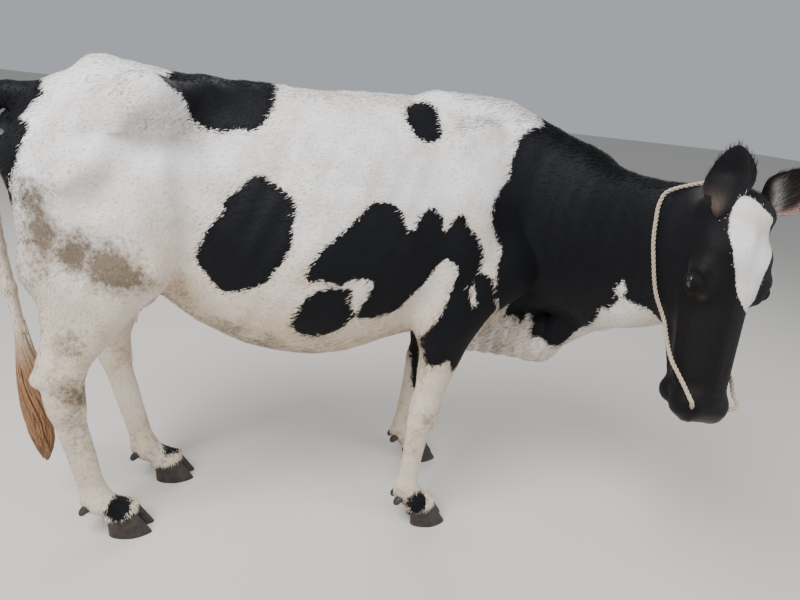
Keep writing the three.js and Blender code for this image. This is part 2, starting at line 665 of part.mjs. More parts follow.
const white = 0xd9d6d0;
const black = 0x1b1b1f;
const limbs = [
  ...Object.entries(hindLegs).map(([name, leg]) => [
    `hind_${name}`, leg, hindLoft(name, leg), hindFold(leg), hindInside]),
  ...Object.entries(foreLegs).map(([name, leg]) => [
    `fore_${name}`, leg, foreLoft(name, leg), foreFold(leg), foreInside]),
];
for (const [name, leg, loft, outline, inside] of limbs) {
  // the limb below its fold, down to the sloping line of the coronet
  trunk = trunk.subtract(limbCut(grownOutline(outline, gap / 2), inside, leg.side, gap / 2));
  const coronet = [leg.coronet[0], leg.coronet[1], coronetHeight];
  const slope = [-coronetSlope, 0, 1];
  let limb = loft.intersect(limbCut(grownOutline(outline, -gap / 2), inside, leg.side, -gap / 2));
  limb = parted(limb, coronet, slope)[0];
  for (const [which, inner] of [['outer', false], ['inner', true]]) {
    limb = limb.subtract(dewclaw(leg, inner, gap));
    addMesh(`dewclaw_${name}_${which}`, dewclaw(leg, inner), 0x3a3330, 0.6);
    addMesh(`hoof_${name}_${which}`, parted(claw(leg, inner), coronet, slope)[1], 0x2b2725, 0.55);
  }
  addMesh(`leg_${name}`, limb, white, 0.85);
}

const neckCut = [[585, -30, 950], [0.93, -0.37, 0]];
const throatCut = [onHead(75, -120, 0).toArray(), headTurn(0.75, 0.66, 0)];
trunk = parted(trunk, ...neckCut)[1];
let neck = parted(parted(neckLoft(), ...neckCut)[0], ...throatCut)[1];
for (const leg of Object.values(foreLegs)) {
  neck = neck.subtract(limbCut(grownOutline(foreFold(leg), gap / 2), foreInside, leg.side, gap / 2));
}
for (const room of Object.values(earRoom)) neck = neck.subtract(room);
const ropeRoom = ropeRing(3 * gap);
neck = neck.subtract(ropeRoom);
let head = headLoft();
for (const [, stub] of Object.values(ears)) head = head.add(stub);
head = parted(head, ...throatCut)[0];
for (const fold of Object.values(earFolds)) head = head.subtract(fold.translate([0, 0, -gap]));
head = head.subtract(ropeRoom);
for (const centre of Object.values(eyes)) head = head.subtract(ball(centre, eyeRadius + gap, 10, 8));
addMesh('trunk', trunk, white, 0.85);
addMesh('udder', udderFree, 0xa98a7c, 0.7);
addMesh('neck', neck, black, 0.8);
addMesh('head', head, black, 0.8);
for (const [name, [free]] of Object.entries(ears)) {
  addMesh(`ear_${name}`, free.subtract(ropeRoom), black, 0.8);
}
for (const [name, centre] of Object.entries(eyes)) {
  addMesh(`eye_${name}`, ball(centre, eyeRadius, 10, 8), 0x120d0a, 0.1);
}
addMesh('tail', tailFree, white, 0.85);
addMesh('tail_switch', parted(brush(), ...brushCut)[1], 0x8a6a4a, 0.9);
addMesh('nose_rope', ropeRing(0), 0xd8cdb8, 0.9);

// ---- origin at the middle of the footprint's box, on the floor ----
const bounds = new THREE.Box3().setFromObject(group);
group.position.set(-(bounds.min.x + bounds.max.x) / 2, -(bounds.min.y + bounds.max.y) / 2, 0);
group.updateMatrixWorld(true);
export default group;
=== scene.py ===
# Standing dairy cow: one skin over the frame's flesh, its coat, eyes, claws, tail switch and nose rope.
# Shapes are worked out in millimetres in the cow's own frame, and moved to the row frame at the end.
import bpy
import math
import numpy as np
from mathutils import Matrix, Vector


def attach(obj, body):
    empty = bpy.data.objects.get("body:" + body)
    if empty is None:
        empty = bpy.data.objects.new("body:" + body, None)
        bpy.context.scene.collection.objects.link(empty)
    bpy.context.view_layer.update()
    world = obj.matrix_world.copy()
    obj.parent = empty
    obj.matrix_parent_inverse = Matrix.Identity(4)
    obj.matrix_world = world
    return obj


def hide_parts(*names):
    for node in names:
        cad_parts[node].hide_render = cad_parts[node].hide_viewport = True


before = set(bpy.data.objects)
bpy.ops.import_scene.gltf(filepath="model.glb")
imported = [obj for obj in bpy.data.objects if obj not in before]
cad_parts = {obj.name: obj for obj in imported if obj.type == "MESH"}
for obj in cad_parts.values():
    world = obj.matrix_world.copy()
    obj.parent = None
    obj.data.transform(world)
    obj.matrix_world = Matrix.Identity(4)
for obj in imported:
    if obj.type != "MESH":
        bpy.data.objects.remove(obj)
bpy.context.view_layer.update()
yAxis = np.array([0.0, 1.0, 0.0])
zAxis = np.array([0.0, 0.0, 1.0])


def unit(v):
    # each vector over its own length
    v = np.asarray(v, float)
    return v / np.maximum(np.linalg.norm(v, axis=-1, keepdims=True), 1e-9)


def ramp(low, high, x):
    # 0 below low, 1 above high, an S curve between: 3t^2 - 2t^3
    t = np.clip((x - low) / (high - low), 0, 1)
    return t * t * (3 - 2 * t)


def bump(x, centre, width):
    # a bell: exp of minus the square of the distance over the width
    return np.exp(-((x - centre) / width) ** 2)


def softNoise(p, size, seed):
    # random heights on a cubic lattice of that spacing, joined by S curves, from -1 to 1
    lattice = np.random.default_rng(seed).uniform(-1, 1, (24, 24, 24))
    q = p / size
    base = np.floor(q).astype(int)
    t = q - base
    t = t * t * (3 - 2 * t)
    total = np.zeros(len(p))
    for corner in np.ndindex(2, 2, 2):
        w = np.prod(np.where(np.array(corner) == 1, t, 1 - t), axis=1)
        i, j, k = ((base + corner) % 24).T
        total += w * lattice[i, j, k]
    return total


# the flesh: the frame's own trunk stations and tapered bars, melted together
flesh = {
    "coatDepth": 4.5,     # mm that the skin lies inside the frame's solids
    "cell": 11.0,         # mm, grid for the whole body; the head and feet are refined below it
    "coronetHeight": 62, "coronetSlope": 0.28, "withersTop": 1298,
    "headYaw": 86, "headPitch": 76, "headTilt": -7, "headScale": 1.04, "headStretch": 1.07,
    "pollAt": [862, -622, 1184], "eyeRadius": 18.0,
    "bagAt": (-475, 0, 620), "bagHalf": (150, 110, 95),   # mm, where the skin is almost bare
}
# x, top line, underline, half width, height of the widest point, fullness above, fullness below
trunkRows = np.array([
    [-735, 1165, 1020, 45, 1090, 2.0, 2.0],
    [-690, 1202, 930, 85, 1080, 2.0, 2.0],
    [-620, 1243, 840, 125, 1060, 2.0, 2.0],
    [-540, 1292, 770, 160, 1050, 1.9, 2.2],
    [-420, 1266, 700, 190, 1020, 1.8, 2.2],
    [-300, 1267, 612, 205, 940, 1.6, 2.2],
    [-180, 1275, 560, 240, 860, 1.6, 2.2],
    [-50, 1271, 538, 268, 830, 1.75, 2.2],
    [80, 1279, 543, 268, 830, 1.8, 2.2],
    [200, 1284, 580, 240, 850, 1.75, 2.2],
    [320, flesh["withersTop"] - 4, 605, 200, 880, 1.7, 2.2],
    [420, flesh["withersTop"], 600, 170, 900, 1.6, 2.1],
    [520, 1289, 600, 150, 920, 1.8, 2.0],
    [600, 1268, 620, 120, 930, 2.0, 2.0],
    [680, 1225, 680, 80, 930, 2.0, 2.0]], float)


def trunkSizes(x):
    # cubic Hermite through the stations, its slope at each the chord of the two beside it
    at = trunkRows[:, 0]
    k = np.clip(np.searchsorted(at, x, side="left") - 1, 0, len(at) - 2)
    ends = np.arange(len(at))
    low, high = np.maximum(ends - 1, 0), np.minimum(ends + 1, len(at) - 1)
    slope = (trunkRows[high] - trunkRows[low]) / (at[high] - at[low])[:, None]
    span = (at[k + 1] - at[k])[..., None]
    t = ((x - at[k]) / (at[k + 1] - at[k]))[..., None]
    a, b = trunkRows[k], trunkRows[k + 1]
    m0, m1 = slope[k] * span, slope[k + 1] * span
    rows = a + m0 * t + (3 * (b - a) - 2 * m0 - m1) * t ** 2 + (m0 + m1 - 2 * (b - a)) * t ** 3
    return [rows[..., column] for column in range(1, 7)]


def trunkField(x, y, z):
    # distance-like: the length of the spoke from the station's middle times 1 - 1/ratio of a superellipse
    held = np.clip(x, trunkRows[0, 0], trunkRows[-1, 0])
    top, under, half, wide, above, below = trunkSizes(held)
    dz = z - wide
    reach = np.where(dz > 0, top - wide, wide - under)
    power = np.where(dz > 0, above, below)
    ratio = ((np.abs(y) / half) ** power + (np.abs(dz) / reach) ** power + 1e-9) ** (1 / power)
    inner = -np.minimum(half, reach)
    f = np.maximum(np.hypot(y, dz) * (1 - 1 / np.maximum(ratio, 1e-6)), inner)
    past = np.abs(x - held)
    return np.where(past > 0, np.hypot(np.maximum(f, 0), past), f)


bars = []


def addBar(group, a, b, radiusA, radiusB, blend, flat=None, ratio=1.0):
    # a tapered bar from a to b, its radius times ratio along flat, and the box outside which it is left out
    a, b = np.asarray(a, float), np.asarray(b, float)
    reach = max(radiusA, radiusB) * max(1, ratio) + blend + 25
    bars.append({"group": group, "a": a, "b": b, "radiusA": radiusA, "radiusB": radiusB, "blend": blend,
                 "flat": None if flat is None else unit(flat), "ratio": ratio,
                 "low": np.minimum(a, b) - reach, "high": np.maximum(a, b) + reach})


def barField(bar, x, y, z):
    # distance to the bar's middle line, stretched along its flat direction, less its tapering radius
    ab = bar["b"] - bar["a"]
    dx, dy, dz = x - bar["a"][0], y - bar["a"][1], z - bar["a"][2]
    t = np.clip((dx * ab[0] + dy * ab[1] + dz * ab[2]) / max(ab @ ab, 1e-6), 0, 1)
    dx, dy, dz = dx - t * ab[0], dy - t * ab[1], dz - t * ab[2]
    if bar["flat"] is not None:
        n = bar["flat"]
        out = (dx * n[0] + dy * n[1] + dz * n[2]) * (1 / bar["ratio"] - 1)
        dx, dy, dz = dx + out * n[0], dy + out * n[1], dz + out * n[2]
    return np.sqrt(dx * dx + dy * dy + dz * dz) - (bar["radiusA"] + (bar["radiusB"] - bar["radiusA"]) * t)


def melt(a, b, width):
    # the smaller of the two, less width / 4 times the square of how nearly they are equal
    h = np.maximum(width - np.abs(a - b), 0) / width
    return np.minimum(a, b) - h * h * width * 0.25


def moved(p, x, y, z):
    # p with the three added
    return [p[0] + x, p[1] + y, p[2] + z]


def between(a, b, t):
    # a at t = 0 and b at t = 1
    return [u + (v - u) * t for u, v in zip(a, b)]


# each side: the hip's point, hip to loin, hip to sacrum, rump, pin bone, hip to pin, thigh, shoulder blade and
# the muscle behind it
for side in (-1, 1):
    addBar("trunk", [-440, side * 156, 1210], [-405, side * 158, 1204], 36, 28, 90)
    addBar("trunk", [-410, side * 176, 1216], [-300, side * 60, 1232], 24, 20, 80)
    addBar("trunk", [-450, side * 10, 1210], [-425, side * 150, 1210], 42, 34, 50)
    addBar("trunk", [-600, side * 20, 1176], [-640, side * 85, 1112], 46, 48, 50)
    addBar("trunk", [-690, side * 95, 1078], [-714, side * 100, 1040], 32, 29, 50)
    addBar("trunk", [-420, side * 183, 1216], [-690, side * 100, 1072], 22, 27, 80)
    addBar("trunk", [-530, side * 162, 1020], [-500, side * 170, 950], 65, 60, 60)
    addBar("trunk", [430, side * 85, 1190], [530, side * 135, 880], 50, 85, 60, [0, 1, 0.1 * side], 0.75)
    addBar("trunk", [360, side * 100, 1160], [420, side * 140, 900], 45, 75, 60)
# the middle: loin, withers, tail head, front of the chest, brisket
addBar("trunk", [-560, 0, 1248], [-300, 0, 1230], 30, 26, 40)
addBar("trunk", [300, 0, 1264], [520, 0, 1258], 30, 30, 50)
addBar("trunk", [-600, 0, 1200], [-735, 0, 1168], 38, 31, 30)
addBar("neck", [440, 0, 670], [650, -30, 700], 90, 110, 60, yAxis, 0.8)
addBar("neck", [480, 0, 590], [720, -90, 598], 62, 66, 40, yAxis, 0.6)

hindLegs = {
    "right": {"side": -1, "hip": [-530, -150, 1000], "stifle": [-435, -195, 800], "hock": [-632, -165, 505],
              "point": [-702, -165, 503], "fetlock": [-574, -136, 110], "coronet": [-502, -132, 62]},
    "left": {"side": 1, "hip": [-530, 150, 1000], "stifle": [-410, 195, 800], "hock": [-575, 150, 505],
             "point": [-644, 150, 503], "fetlock": [-484, 118, 110], "coronet": [-408, 116, 62]},
}
foreLegs = {
    "right": {"side": -1, "shoulder": [535, -165, 840], "elbow": [325, -165, 680], "knee": [338, -170, 390],
              "fetlock": [325, -165, 110], "coronet": [385, -165, 62]},
    "left": {"side": 1, "shoulder": [550, 165, 840], "elbow": [365, 165, 680], "knee": [412, 175, 388],
             "fetlock": [388, 178, 110], "coronet": [452, 178, 62]},
}
allLegs = {**{"hind_" + k: v for k, v in hindLegs.items()}, **{"fore_" + k: v for k, v in foreLegs.items()}}


def addFoot(leg):
    # fetlock, pastern and the pad above the claws
    fetlock, coronet = leg["fetlock"], leg["coronet"]
    addBar("leg", moved(fetlock, -4, 0, 8), moved(fetlock, 4, 0, -8), 39, 38, 30, yAxis, 0.9)
    addBar("leg", moved(fetlock, 8, 0, -10), moved(coronet, -2, 0, 0), 33, 40, 20, yAxis, 1.05)
    addBar("leg", moved(coronet, -30, 0, -22), moved(coronet, 0, 0, -16), 32, 38, 20, yAxis, 1.2)


# thigh in three, calf and tendon in four, hock, its point, shank
for leg in hindLegs.values():
    s, hip, stifle, hock, point = leg["side"], leg["hip"], leg["stifle"], leg["hock"], leg["point"]
    calf, shank = between(stifle, hock, 0.5), moved(hock, 0, 0, -50)
    addBar("leg", moved(hip, 90, 0, 20), moved(stifle, 0, 0, 30), 100, 72, 60, yAxis, 0.75)
    addBar("leg", moved(hip, -50, -s * 10, 0), moved(calf, -20, 0, 130), 110, 74, 60, yAxis, 0.7)
    addBar("leg", moved(hip, -138, -s * 45, 10), moved(hock, -18, -s * 15, 285), 62, 55, 60, yAxis, 0.9)
    addBar("leg", moved(hock, -18, -s * 15, 285), moved(hock, -4, -s * 8, 185), 52, 34, 50, yAxis, 0.85)
    addBar("leg", moved(stifle, -20, 0, 0), moved(hock, 22, 0, 40), 74, 40, 50, yAxis, 0.75)
    addBar("leg", moved(calf, -45, 0, 95), moved(hock, 5, 0, 60), 58, 32, 50, yAxis, 0.7)
    addBar("leg", moved(hock, 2, 0, 190), moved(point, 14, 0, 0), 27, 15, 30, yAxis, 0.8)
    addBar("leg", moved(hock, 2, 0, 20), moved(hock, 6, 0, -85), 54, 50, 30, yAxis, 0.68)
    addBar("leg", hock, moved(point, 14, 0, -2), 30, 17, 30)
    addBar("leg", moved(shank, -5, 0, 0), moved(leg["fetlock"], -3, 0, 0), 46, 37, 20, yAxis, 0.62)
    addFoot(leg)
# upper arm, the muscle behind it, forearm, elbow, knee, shank
for leg in foreLegs.values():
    s, shoulder, elbow, knee = leg["side"], leg["shoulder"], leg["elbow"], leg["knee"]
    addBar("leg", shoulder, moved(elbow, 60, 0, 30), 82, 75, 60, yAxis, 0.75)
    addBar("leg", [400, s * 130, 1020], moved(elbow, 10, 0, 30), 85, 55, 60, yAxis, 0.7)
    addBar("leg", moved(elbow, 62, 0, 20), moved(knee, 10, 0, 70), 84, 48, 50, yAxis, 0.72)
    addBar("leg", moved(elbow, -15, 0, 30), moved(elbow, 20, 0, -40), 35, 40, 40)
    addBar("leg", moved(knee, 4, 0, 20), moved(knee, 6, 0, -25), 52, 47, 30, yAxis, 0.82)
    addBar("leg", moved(knee, -6, 0, -30), moved(leg["fetlock"], -5, 0, 0), 40, 33, 20, yAxis, 0.7)
    addFoot(leg)

# middle of each section of the neck, half its depth, half its thickness
neckRows = [([420, 0, 980], 280, 130), ([560, -25, 978], 286, 125), ([670, -110, 968], 252, 110),
            ([735, -225, 960], 212, 95), ([768, -340, 975], 186, 86), ([790, -460, 1015], 152, 80),
            ([805, -560, 1065], 118, 78)]
for (a, deepA, thickA), (b, deepB, thickB) in zip(neckRows[:-1], neckRows[1:]):
    across = np.cross(np.subtract(b, a), zAxis)
    addBar("neck", a, b, deepA, deepB, 30, across, thickA / deepA)


def turned(v, axis, degrees):
    # Rodrigues: v cos a + (axis x v) sin a + axis (axis . v)(1 - cos a)
    a = math.radians(degrees)
    return v * math.cos(a) + np.cross(axis, v) * math.sin(a) + axis * (axis @ v) * (1 - math.cos(a))


yaw, pitch = math.radians(flesh["headYaw"]), math.radians(flesh["headPitch"])
ahead = np.array([math.cos(yaw), -math.sin(yaw), 0])
headLeft = np.array([math.sin(yaw), math.cos(yaw), 0])
headLength = ahead * math.cos(pitch) - zAxis * math.sin(pitch)
headHeight = ahead * math.sin(pitch) + zAxis * math.cos(pitch)
headLength = turned(headLength, headHeight, flesh["headTilt"])
headLeft = turned(headLeft, headHeight, flesh["headTilt"])
headAxes = np.array([headLength, headHeight, headLeft])
headSizes = flesh["headScale"] * np.array([flesh["headStretch"], 1, 1])
poll = np.array(flesh["pollAt"], float)


def onHead(along, off, left):
    # the place that lies so far down the face from the poll, off it and to its left
    return poll + (np.array([along, off, left]) * headSizes) @ headAxes


def headCoordinates(p):
    # onHead undone
    return ((p - poll) @ headAxes.T) / headSizes


def headBar(a, b, radiusA, radiusB, blend):
    # a bar given in head coordinates
    scale = flesh["headScale"]
    addBar("head", onHead(*a), onHead(*b), radiusA * scale, radiusB * scale, blend)


# poll, skull, brow, face, muzzle, chin; each side: eye socket, cheek, jaw, side of the nose, ear's base
headBar([42, -66, -34], [42, -66, 34], 50, 50, 30)
headBar([60, -80, 0], [170, -80, 0], 84, 76, 30)
headBar([125, -45, -48], [125, -45, 48], 44, 44, 30)
headBar([160, -62, 0], [400, -54, 0], 63, 44, 30)
headBar([426, -62, -24], [426, -62, 24], 46, 46, 20)
headBar([412, -116, -20], [412, -116, 20], 36, 36, 20)
for side in (-1, 1):
    headBar([168, -42, side * 77], [194, -48, side * 74], 30, 27, 30)
    headBar([120, -130, side * 42], [225, -130, side * 36], 52, 42, 30)
    headBar([95, -185, side * 38], [360, -118, side * 22], 31, 27, 30)
    headBar([200, -88, side * 36], [370, -76, side * 30], 42, 36, 30)
    headBar([45, -60, side * 68], [38, -58, side * 84], 30, 24, 20)
# throat and dewlap
addBar("neck", [782, -290, 780], onHead(245, -180, 0), 48, 36, 60)
addBar("neck", [720, -90, 610], [800, -250, 755], 55, 38, 60)

tailPath = [[-700, 0, 1180], [-745, 0, 1180], [-786, 0, 1160], [-808, 0, 1090], [-812, 0, 930], [-804, 0, 800],
            [-788, 0, 690], [-770, 0, 566]]
tailRadii = [35, 31, 27, 25, 22.5, 21, 19.5, 18]
for k in range(len(tailPath) - 1):
    addBar("tail", tailPath[k], tailPath[k + 1], tailRadii[k], tailRadii[k + 1], 14)
addBar("udder", [-534, 0, 712], [-488, 0, 712], 76, 76, 30, yAxis, 0.95)
for x in (-534, -478):
    for side in (-1, 1):
        addBar("udder", [x, side * 36, 652], [x, side * 40, 618], 12.5, 9.5, 16)


def footCut(f, x, y, z):
    # each limb ends a little inside its claws, on the sloping line of the coronet
    for leg in allLegs.values():
        cx, cy, _ = leg["coronet"]
        near = (np.abs(x - cx) < 140) & (np.abs(y - cy) < 95) & (z < 140)
        line = flesh["coronetHeight"] - 9 + flesh["coronetSlope"] * (x - cx) - z
        f = np.where(near, np.maximum(f, line), f)
    return f


def coatDepth(x, y, z):
    # the whole depth, falling to 1.5 mm inside an ellipsoid round the bag and its teats
    spans = zip((x, y, z), flesh["bagAt"], flesh["bagHalf"])
    bag = np.sqrt(sum(((v - at) / half) ** 2 for v, at, half in spans))
    return 1.5 + (flesh["coatDepth"] - 1.5) * ramp(0.9, 1.3, bag)


def bodyField(p):
    # the frame's surface moved inwards by the coat's depth is where this is 0
    f = trunkField(p[:, 0], p[:, 1], p[:, 2])
    for bar in bars:
        near = np.all((p > bar["low"]) & (p < bar["high"]), axis=1)
        q = p[near]
        f[near] = melt(f[near], barField(bar, q[:, 0], q[:, 1], q[:, 2]), bar["blend"])
    return footCut(f, p[:, 0], p[:, 1], p[:, 2]) + coatDepth(p[:, 0], p[:, 1], p[:, 2])


def bodyGrid(low, high, step):
    # the same field on a grid of points, each bar worked out in its own box only
    count = np.ceil((np.subtract(high, low)) / step).astype(int) + 1
    x, y, z = (low[i] + step * np.arange(count[i]) for i in range(3))
    f = trunkField(x[:, None, None], y[None, :, None], z[None, None, :])
    f = np.ascontiguousarray(np.broadcast_to(f, count)).astype(np.float64)
    for bar in bars:
        i0, i1 = np.searchsorted(x, [bar["low"][0], bar["high"][0]])
        j0, j1 = np.searchsorted(y, [bar["low"][1], bar["high"][1]])
        k0, k1 = np.searchsorted(z, [bar["low"][2], bar["high"][2]])
        part = f[i0:i1, j0:j1, k0:k1]
        g = barField(bar, x[i0:i1, None, None], y[None, j0:j1, None], z[None, None, k0:k1])
        f[i0:i1, j0:j1, k0:k1] = melt(part, g, bar["blend"])
    feet = z < 140
    f[:, :, feet] = footCut(f[:, :, feet], x[:, None, None], y[None, :, None], z[None, None, feet])
    return f + coatDepth(x[:, None, None], y[None, :, None], z[None, None, :])


def surfaceNet(f, low, step):
    # one vertex in each cell that the surface crosses, at the mean of its edge crossings,
    # and one square round each crossed edge
    cells = np.array(f.shape) - 1
    total, hits = np.zeros((*cells, 3)), np.zeros(tuple(cells))
    crossings = []
    for d in range(3):
        a = np.take(f, np.arange(f.shape[d] - 1), axis=d)
        b = np.take(f, np.arange(1, f.shape[d]), axis=d)
        crossed = (a < 0) != (b < 0)
        index = np.argwhere(crossed)
        place = index.astype(float)
        place[:, d] += a[crossed] / (a[crossed] - b[crossed])
        crossings.append((index, a[crossed] < 0))
        for u in (0, -1):
            for v in (0, -1):
                cell = index.copy()
                cell[:, (d + 1) % 3] += u
                cell[:, (d + 2) % 3] += v
                inside = np.all((cell >= 0) & (cell < cells), axis=1)
                flat = np.ravel_multi_index(cell[inside].T, cells)
                hits.reshape(-1)[:] += np.bincount(flat, minlength=hits.size)
                for axis in range(3):
                    total.reshape(-1, 3)[:, axis] += np.bincount(flat, place[inside, axis], hits.size)
    used = hits > 0
    number = np.full(used.shape, -1)
    number[used] = np.arange(used.sum())
    verts = np.asarray(low) + step * total[used] / hits[used][:, None]
    quads = []
    for d, (index, start) in enumerate(crossings):
        ring = []
        for u, v in ((-1, -1), (0, -1), (0, 0), (-1, 0)):
            cell = index.copy()
            cell[:, (d + 1) % 3] += u
            cell[:, (d + 2) % 3] += v
            ring.append(number[tuple(cell.T)])
        quad = np.stack(ring, axis=1)
        quad[~start] = quad[~start][:, ::-1]
        quads.append(quad)
    return verts, np.concatenate(quads)


def splitQuads(verts, quads):
    # along the shorter diagonal
    a, b, c, d = (verts[quads[:, k]] for k in range(4))
    short = np.linalg.norm(a - c, axis=1) < np.linalg.norm(b - d, axis=1)
    one = np.where(short[:, None], quads[:, [0, 1, 2]], quads[:, [0, 1, 3]])
    two = np.where(short[:, None], quads[:, [0, 2, 3]], quads[:, [1, 2, 3]])
    return np.concatenate([one, two])


def refine(verts, tris, wanted):
    # each edge with both ends wanted is split at its middle, and its triangles in two, three or four
    edges = np.sort(np.concatenate([tris[:, [0, 1]], tris[:, [1, 2]], tris[:, [2, 0]]]), axis=1)
    key = edges[:, 0].astype(np.int64) * len(verts) + edges[:, 1]
    _, first, back = np.unique(key, return_index=True, return_inverse=True)
    ends = edges[first]
    cut = wanted[ends[:, 0]] & wanted[ends[:, 1]]
    number = np.full(len(first), -1)
    number[cut] = len(verts) + np.arange(cut.sum())
    verts = np.concatenate([verts, verts[ends[cut]].mean(axis=1)])
    middle = number[back.reshape(-1)].reshape(3, -1).T
    has = middle >= 0
    count = has.sum(axis=1)
    parts = [tris[count == 0]]
    whole, m = tris[count == 3], middle[count == 3]
    parts.append(m)
    for k in range(3):
        parts.append(np.stack([whole[:, k], m[:, k], m[:, (k + 2) % 3]], axis=1))
        one = (count == 1) & has[:, k]
        a, b, c = tris[one][:, [k, (k + 1) % 3, (k + 2) % 3]].T
        parts += [np.stack([a, middle[one, k], c], axis=1), np.stack([middle[one, k], b, c], axis=1)]
        two = (count == 2) & ~has[:, (k + 2) % 3]
        a, b, c = tris[two][:, [k, (k + 1) % 3, (k + 2) % 3]].T
        ab, bc = middle[two, k], middle[two, (k + 1) % 3]
        parts += [np.stack([ab, b, bc], axis=1), np.stack([a, ab, bc], axis=1), np.stack([a, bc, c], axis=1)]
    return verts, np.concatenate(parts)


def gradient(p):
    # central differences 1.5 mm either way
    steps = 1.5 * np.eye(3)
    return np.stack([bodyField(p + e) - bodyField(p - e) for e in steps], axis=1) / 3.0


def settled(p, rounds=2):
    # Newton steps along the gradient bring each point on to the surface, and its normal back
    for _ in range(rounds):
        g = gradient(p)
        p = p - (bodyField(p) / np.maximum((g * g).sum(axis=1), 0.05))[:, None] * g
    return p, unit(gradient(p))


# ears: cupped leaves, made apart and then joined to the skin
earLook = {"length": 130, "stalk": 18, "width": 98, "rings": 40, "around": 48,
           "footForward": 46, "footOut": 17, "reach": 165}
ears = {"right": {"side": -1, "root": [30, -62, -48],
                  "along": [-0.25, -0.11, 1.0], "opening": [0.55, 0.75, 0.1]},
        "left": {"side": 1, "root": [24, -52, 60],
                 "along": [0.55, -0.45, 0.85], "opening": [-0.7, -0.65, 0.2]}}
for ear in ears.values():
    ear["root"] = onHead(*ear["root"])
    ear["tangent"] = unit(ear["along"])
    facing = np.array(ear["opening"])
    ear["face"] = unit(facing - ear["tangent"] * (facing @ ear["tangent"]))
    ear["across"] = np.cross(ear["tangent"], ear["face"])
ears["right"]["root"] -= earLook["footOut"] * ears["right"]["across"]   # so that its foot stays where it was


def earHalf(t):
    # half width: sin(pi(0.13 + 0.87 t^0.9))^0.62, broad in the middle and drawn to a point
    t = np.clip(t, 0, 1)
    leaf = np.maximum(np.sin(np.pi * (0.13 + 0.87 * t ** 0.9)), 0) ** 0.62
    return np.maximum(earLook["width"] / 2 * leaf, 1.2)


def earBend(t, x):
    # the section is a parabola, curled more at the root
    curl = 0.75 - 0.45 * t
    return curl * x * x / np.maximum(earHalf(t), 1) - 0.3 * curl * earHalf(t)


def earFoot(ear, along):
    # the near ear's foot comes forward and outwards on the skull, and both are drawn in to a stalk
    bent = (1 - ramp(5, 80, along)) * (ear["side"] < 0)
    return -earLook["footForward"] * bent, earLook["footOut"] * bent, 0.45 + 0.55 * ramp(-10, 55, along)


def alongEar(t):
    # from the foot of the stalk at t = 0 to the tip at 1
    return (earLook["length"] + earLook["stalk"]) * t - earLook["stalk"]


def earSurface(ear):
    # t runs from root to tip and the angle round a flat ellipse bent along the parabola
    t = np.linspace(0, 1, earLook["rings"])[:, None] ** 0.9
    angle = np.linspace(0, 2 * np.pi, earLook["around"], endpoint=False)[None, :]
    along = alongEar(t) + 0 * angle
    forward, outward, drawn = earFoot(ear, along)
    half = earHalf(t) * drawn
    thick = np.where(t < 0.55, 13.5 - 20.5 * t, 2.2) * np.where(t > 0.9, 1 - 5 * (t - 0.9), 1)
    x = half * np.cos(angle)
    veins = 0.5 * np.sin(x / 4.5 + 3 * t) * np.sin(np.pi * t) * (np.sin(angle) > 0)
    y = thick * np.sin(angle) + earBend(t, x) + veins + forward
    return (ear["root"] + along[..., None] * ear["tangent"] + (x + outward)[..., None] * ear["across"]
            + y[..., None] * ear["face"])


def loft(rings):
    # squares between neighbouring rings of points, and a fan to the middle of each end ring
    count, around, _ = rings.shape
    index = np.arange(count * around).reshape(count, around)
    nextRound = np.roll(index, -1, axis=1)
    quads = np.stack([index[:-1], nextRound[:-1], nextRound[1:], index[1:]], axis=-1).reshape(-1, 4)
    verts = rings.reshape(-1, 3)
    verts = np.concatenate([verts, rings[0].mean(axis=0)[None], rings[-1].mean(axis=0)[None]])
    first, last = count * around, count * around + 1
    start = np.stack([nextRound[0], index[0], np.full(around, first)], axis=1)
    end = np.stack([index[-1], nextRound[-1], np.full(around, last)], axis=1)
    return verts, [quads, np.concatenate([start, end])]


def outwards(verts, faces):
    # turned over if its volume, the sum of a . (b x c) / 6 over its triangles, is negative
    volume = 0
    for block in faces:
        for k in range(1, block.shape[1] - 1):
            a, b, c = verts[block[:, 0]], verts[block[:, k]], verts[block[:, k + 1]]
            volume += np.einsum("ij,ij->", a, np.cross(b, c))
    return [block[:, ::-1] for block in faces] if volume < 0 else faces


originAt = np.array([74.986, -229.2745, 0])   # the row frame's origin in the cow's own frame, mm


def toRow(p):
    # millimetres in the cow's frame to metres in the row frame
    return (np.asarray(p, float) - originAt) / 1000


def fromRow(p):
    # toRow undone
    return np.asarray(p, float) * 1000 + originAt


def makePiece(name, verts, faces, material=None, numbers=None, uv=None):
    # faces is a list of blocks with 3 or 4 corners each; numbers are per vertex
    mesh = bpy.data.meshes.new(name)
    mesh.vertices.add(len(verts))
    mesh.vertices.foreach_set("co", toRow(verts).astype(np.float32).ravel())
    corners = np.concatenate([block.ravel() for block in faces])
    sizes = np.concatenate([np.full(len(block), block.shape[1]) for block in faces])
    mesh.loops.add(len(corners))
    mesh.loops.foreach_set("vertex_index", corners.astype(np.int32))
    mesh.polygons.add(len(sizes))
    mesh.polygons.foreach_set("loop_start", (np.cumsum(sizes) - sizes).astype(np.int32))
    mesh.polygons.foreach_set("use_smooth", np.ones(len(sizes), bool))
    for key, values in (numbers or {}).items():
        giveNumbers(mesh, key, values)
    if uv is not None:
        layer = mesh.uv_layers.new(name="OFBake")
        layer.data.foreach_set("uv", uv[corners].astype(np.float32).ravel())
    mesh.update(calc_edges=True)
    mesh.validate()
    piece = bpy.data.objects.new(name, mesh)
    bpy.context.collection.objects.link(piece)
    if material:
        mesh.materials.append(material)
    return piece


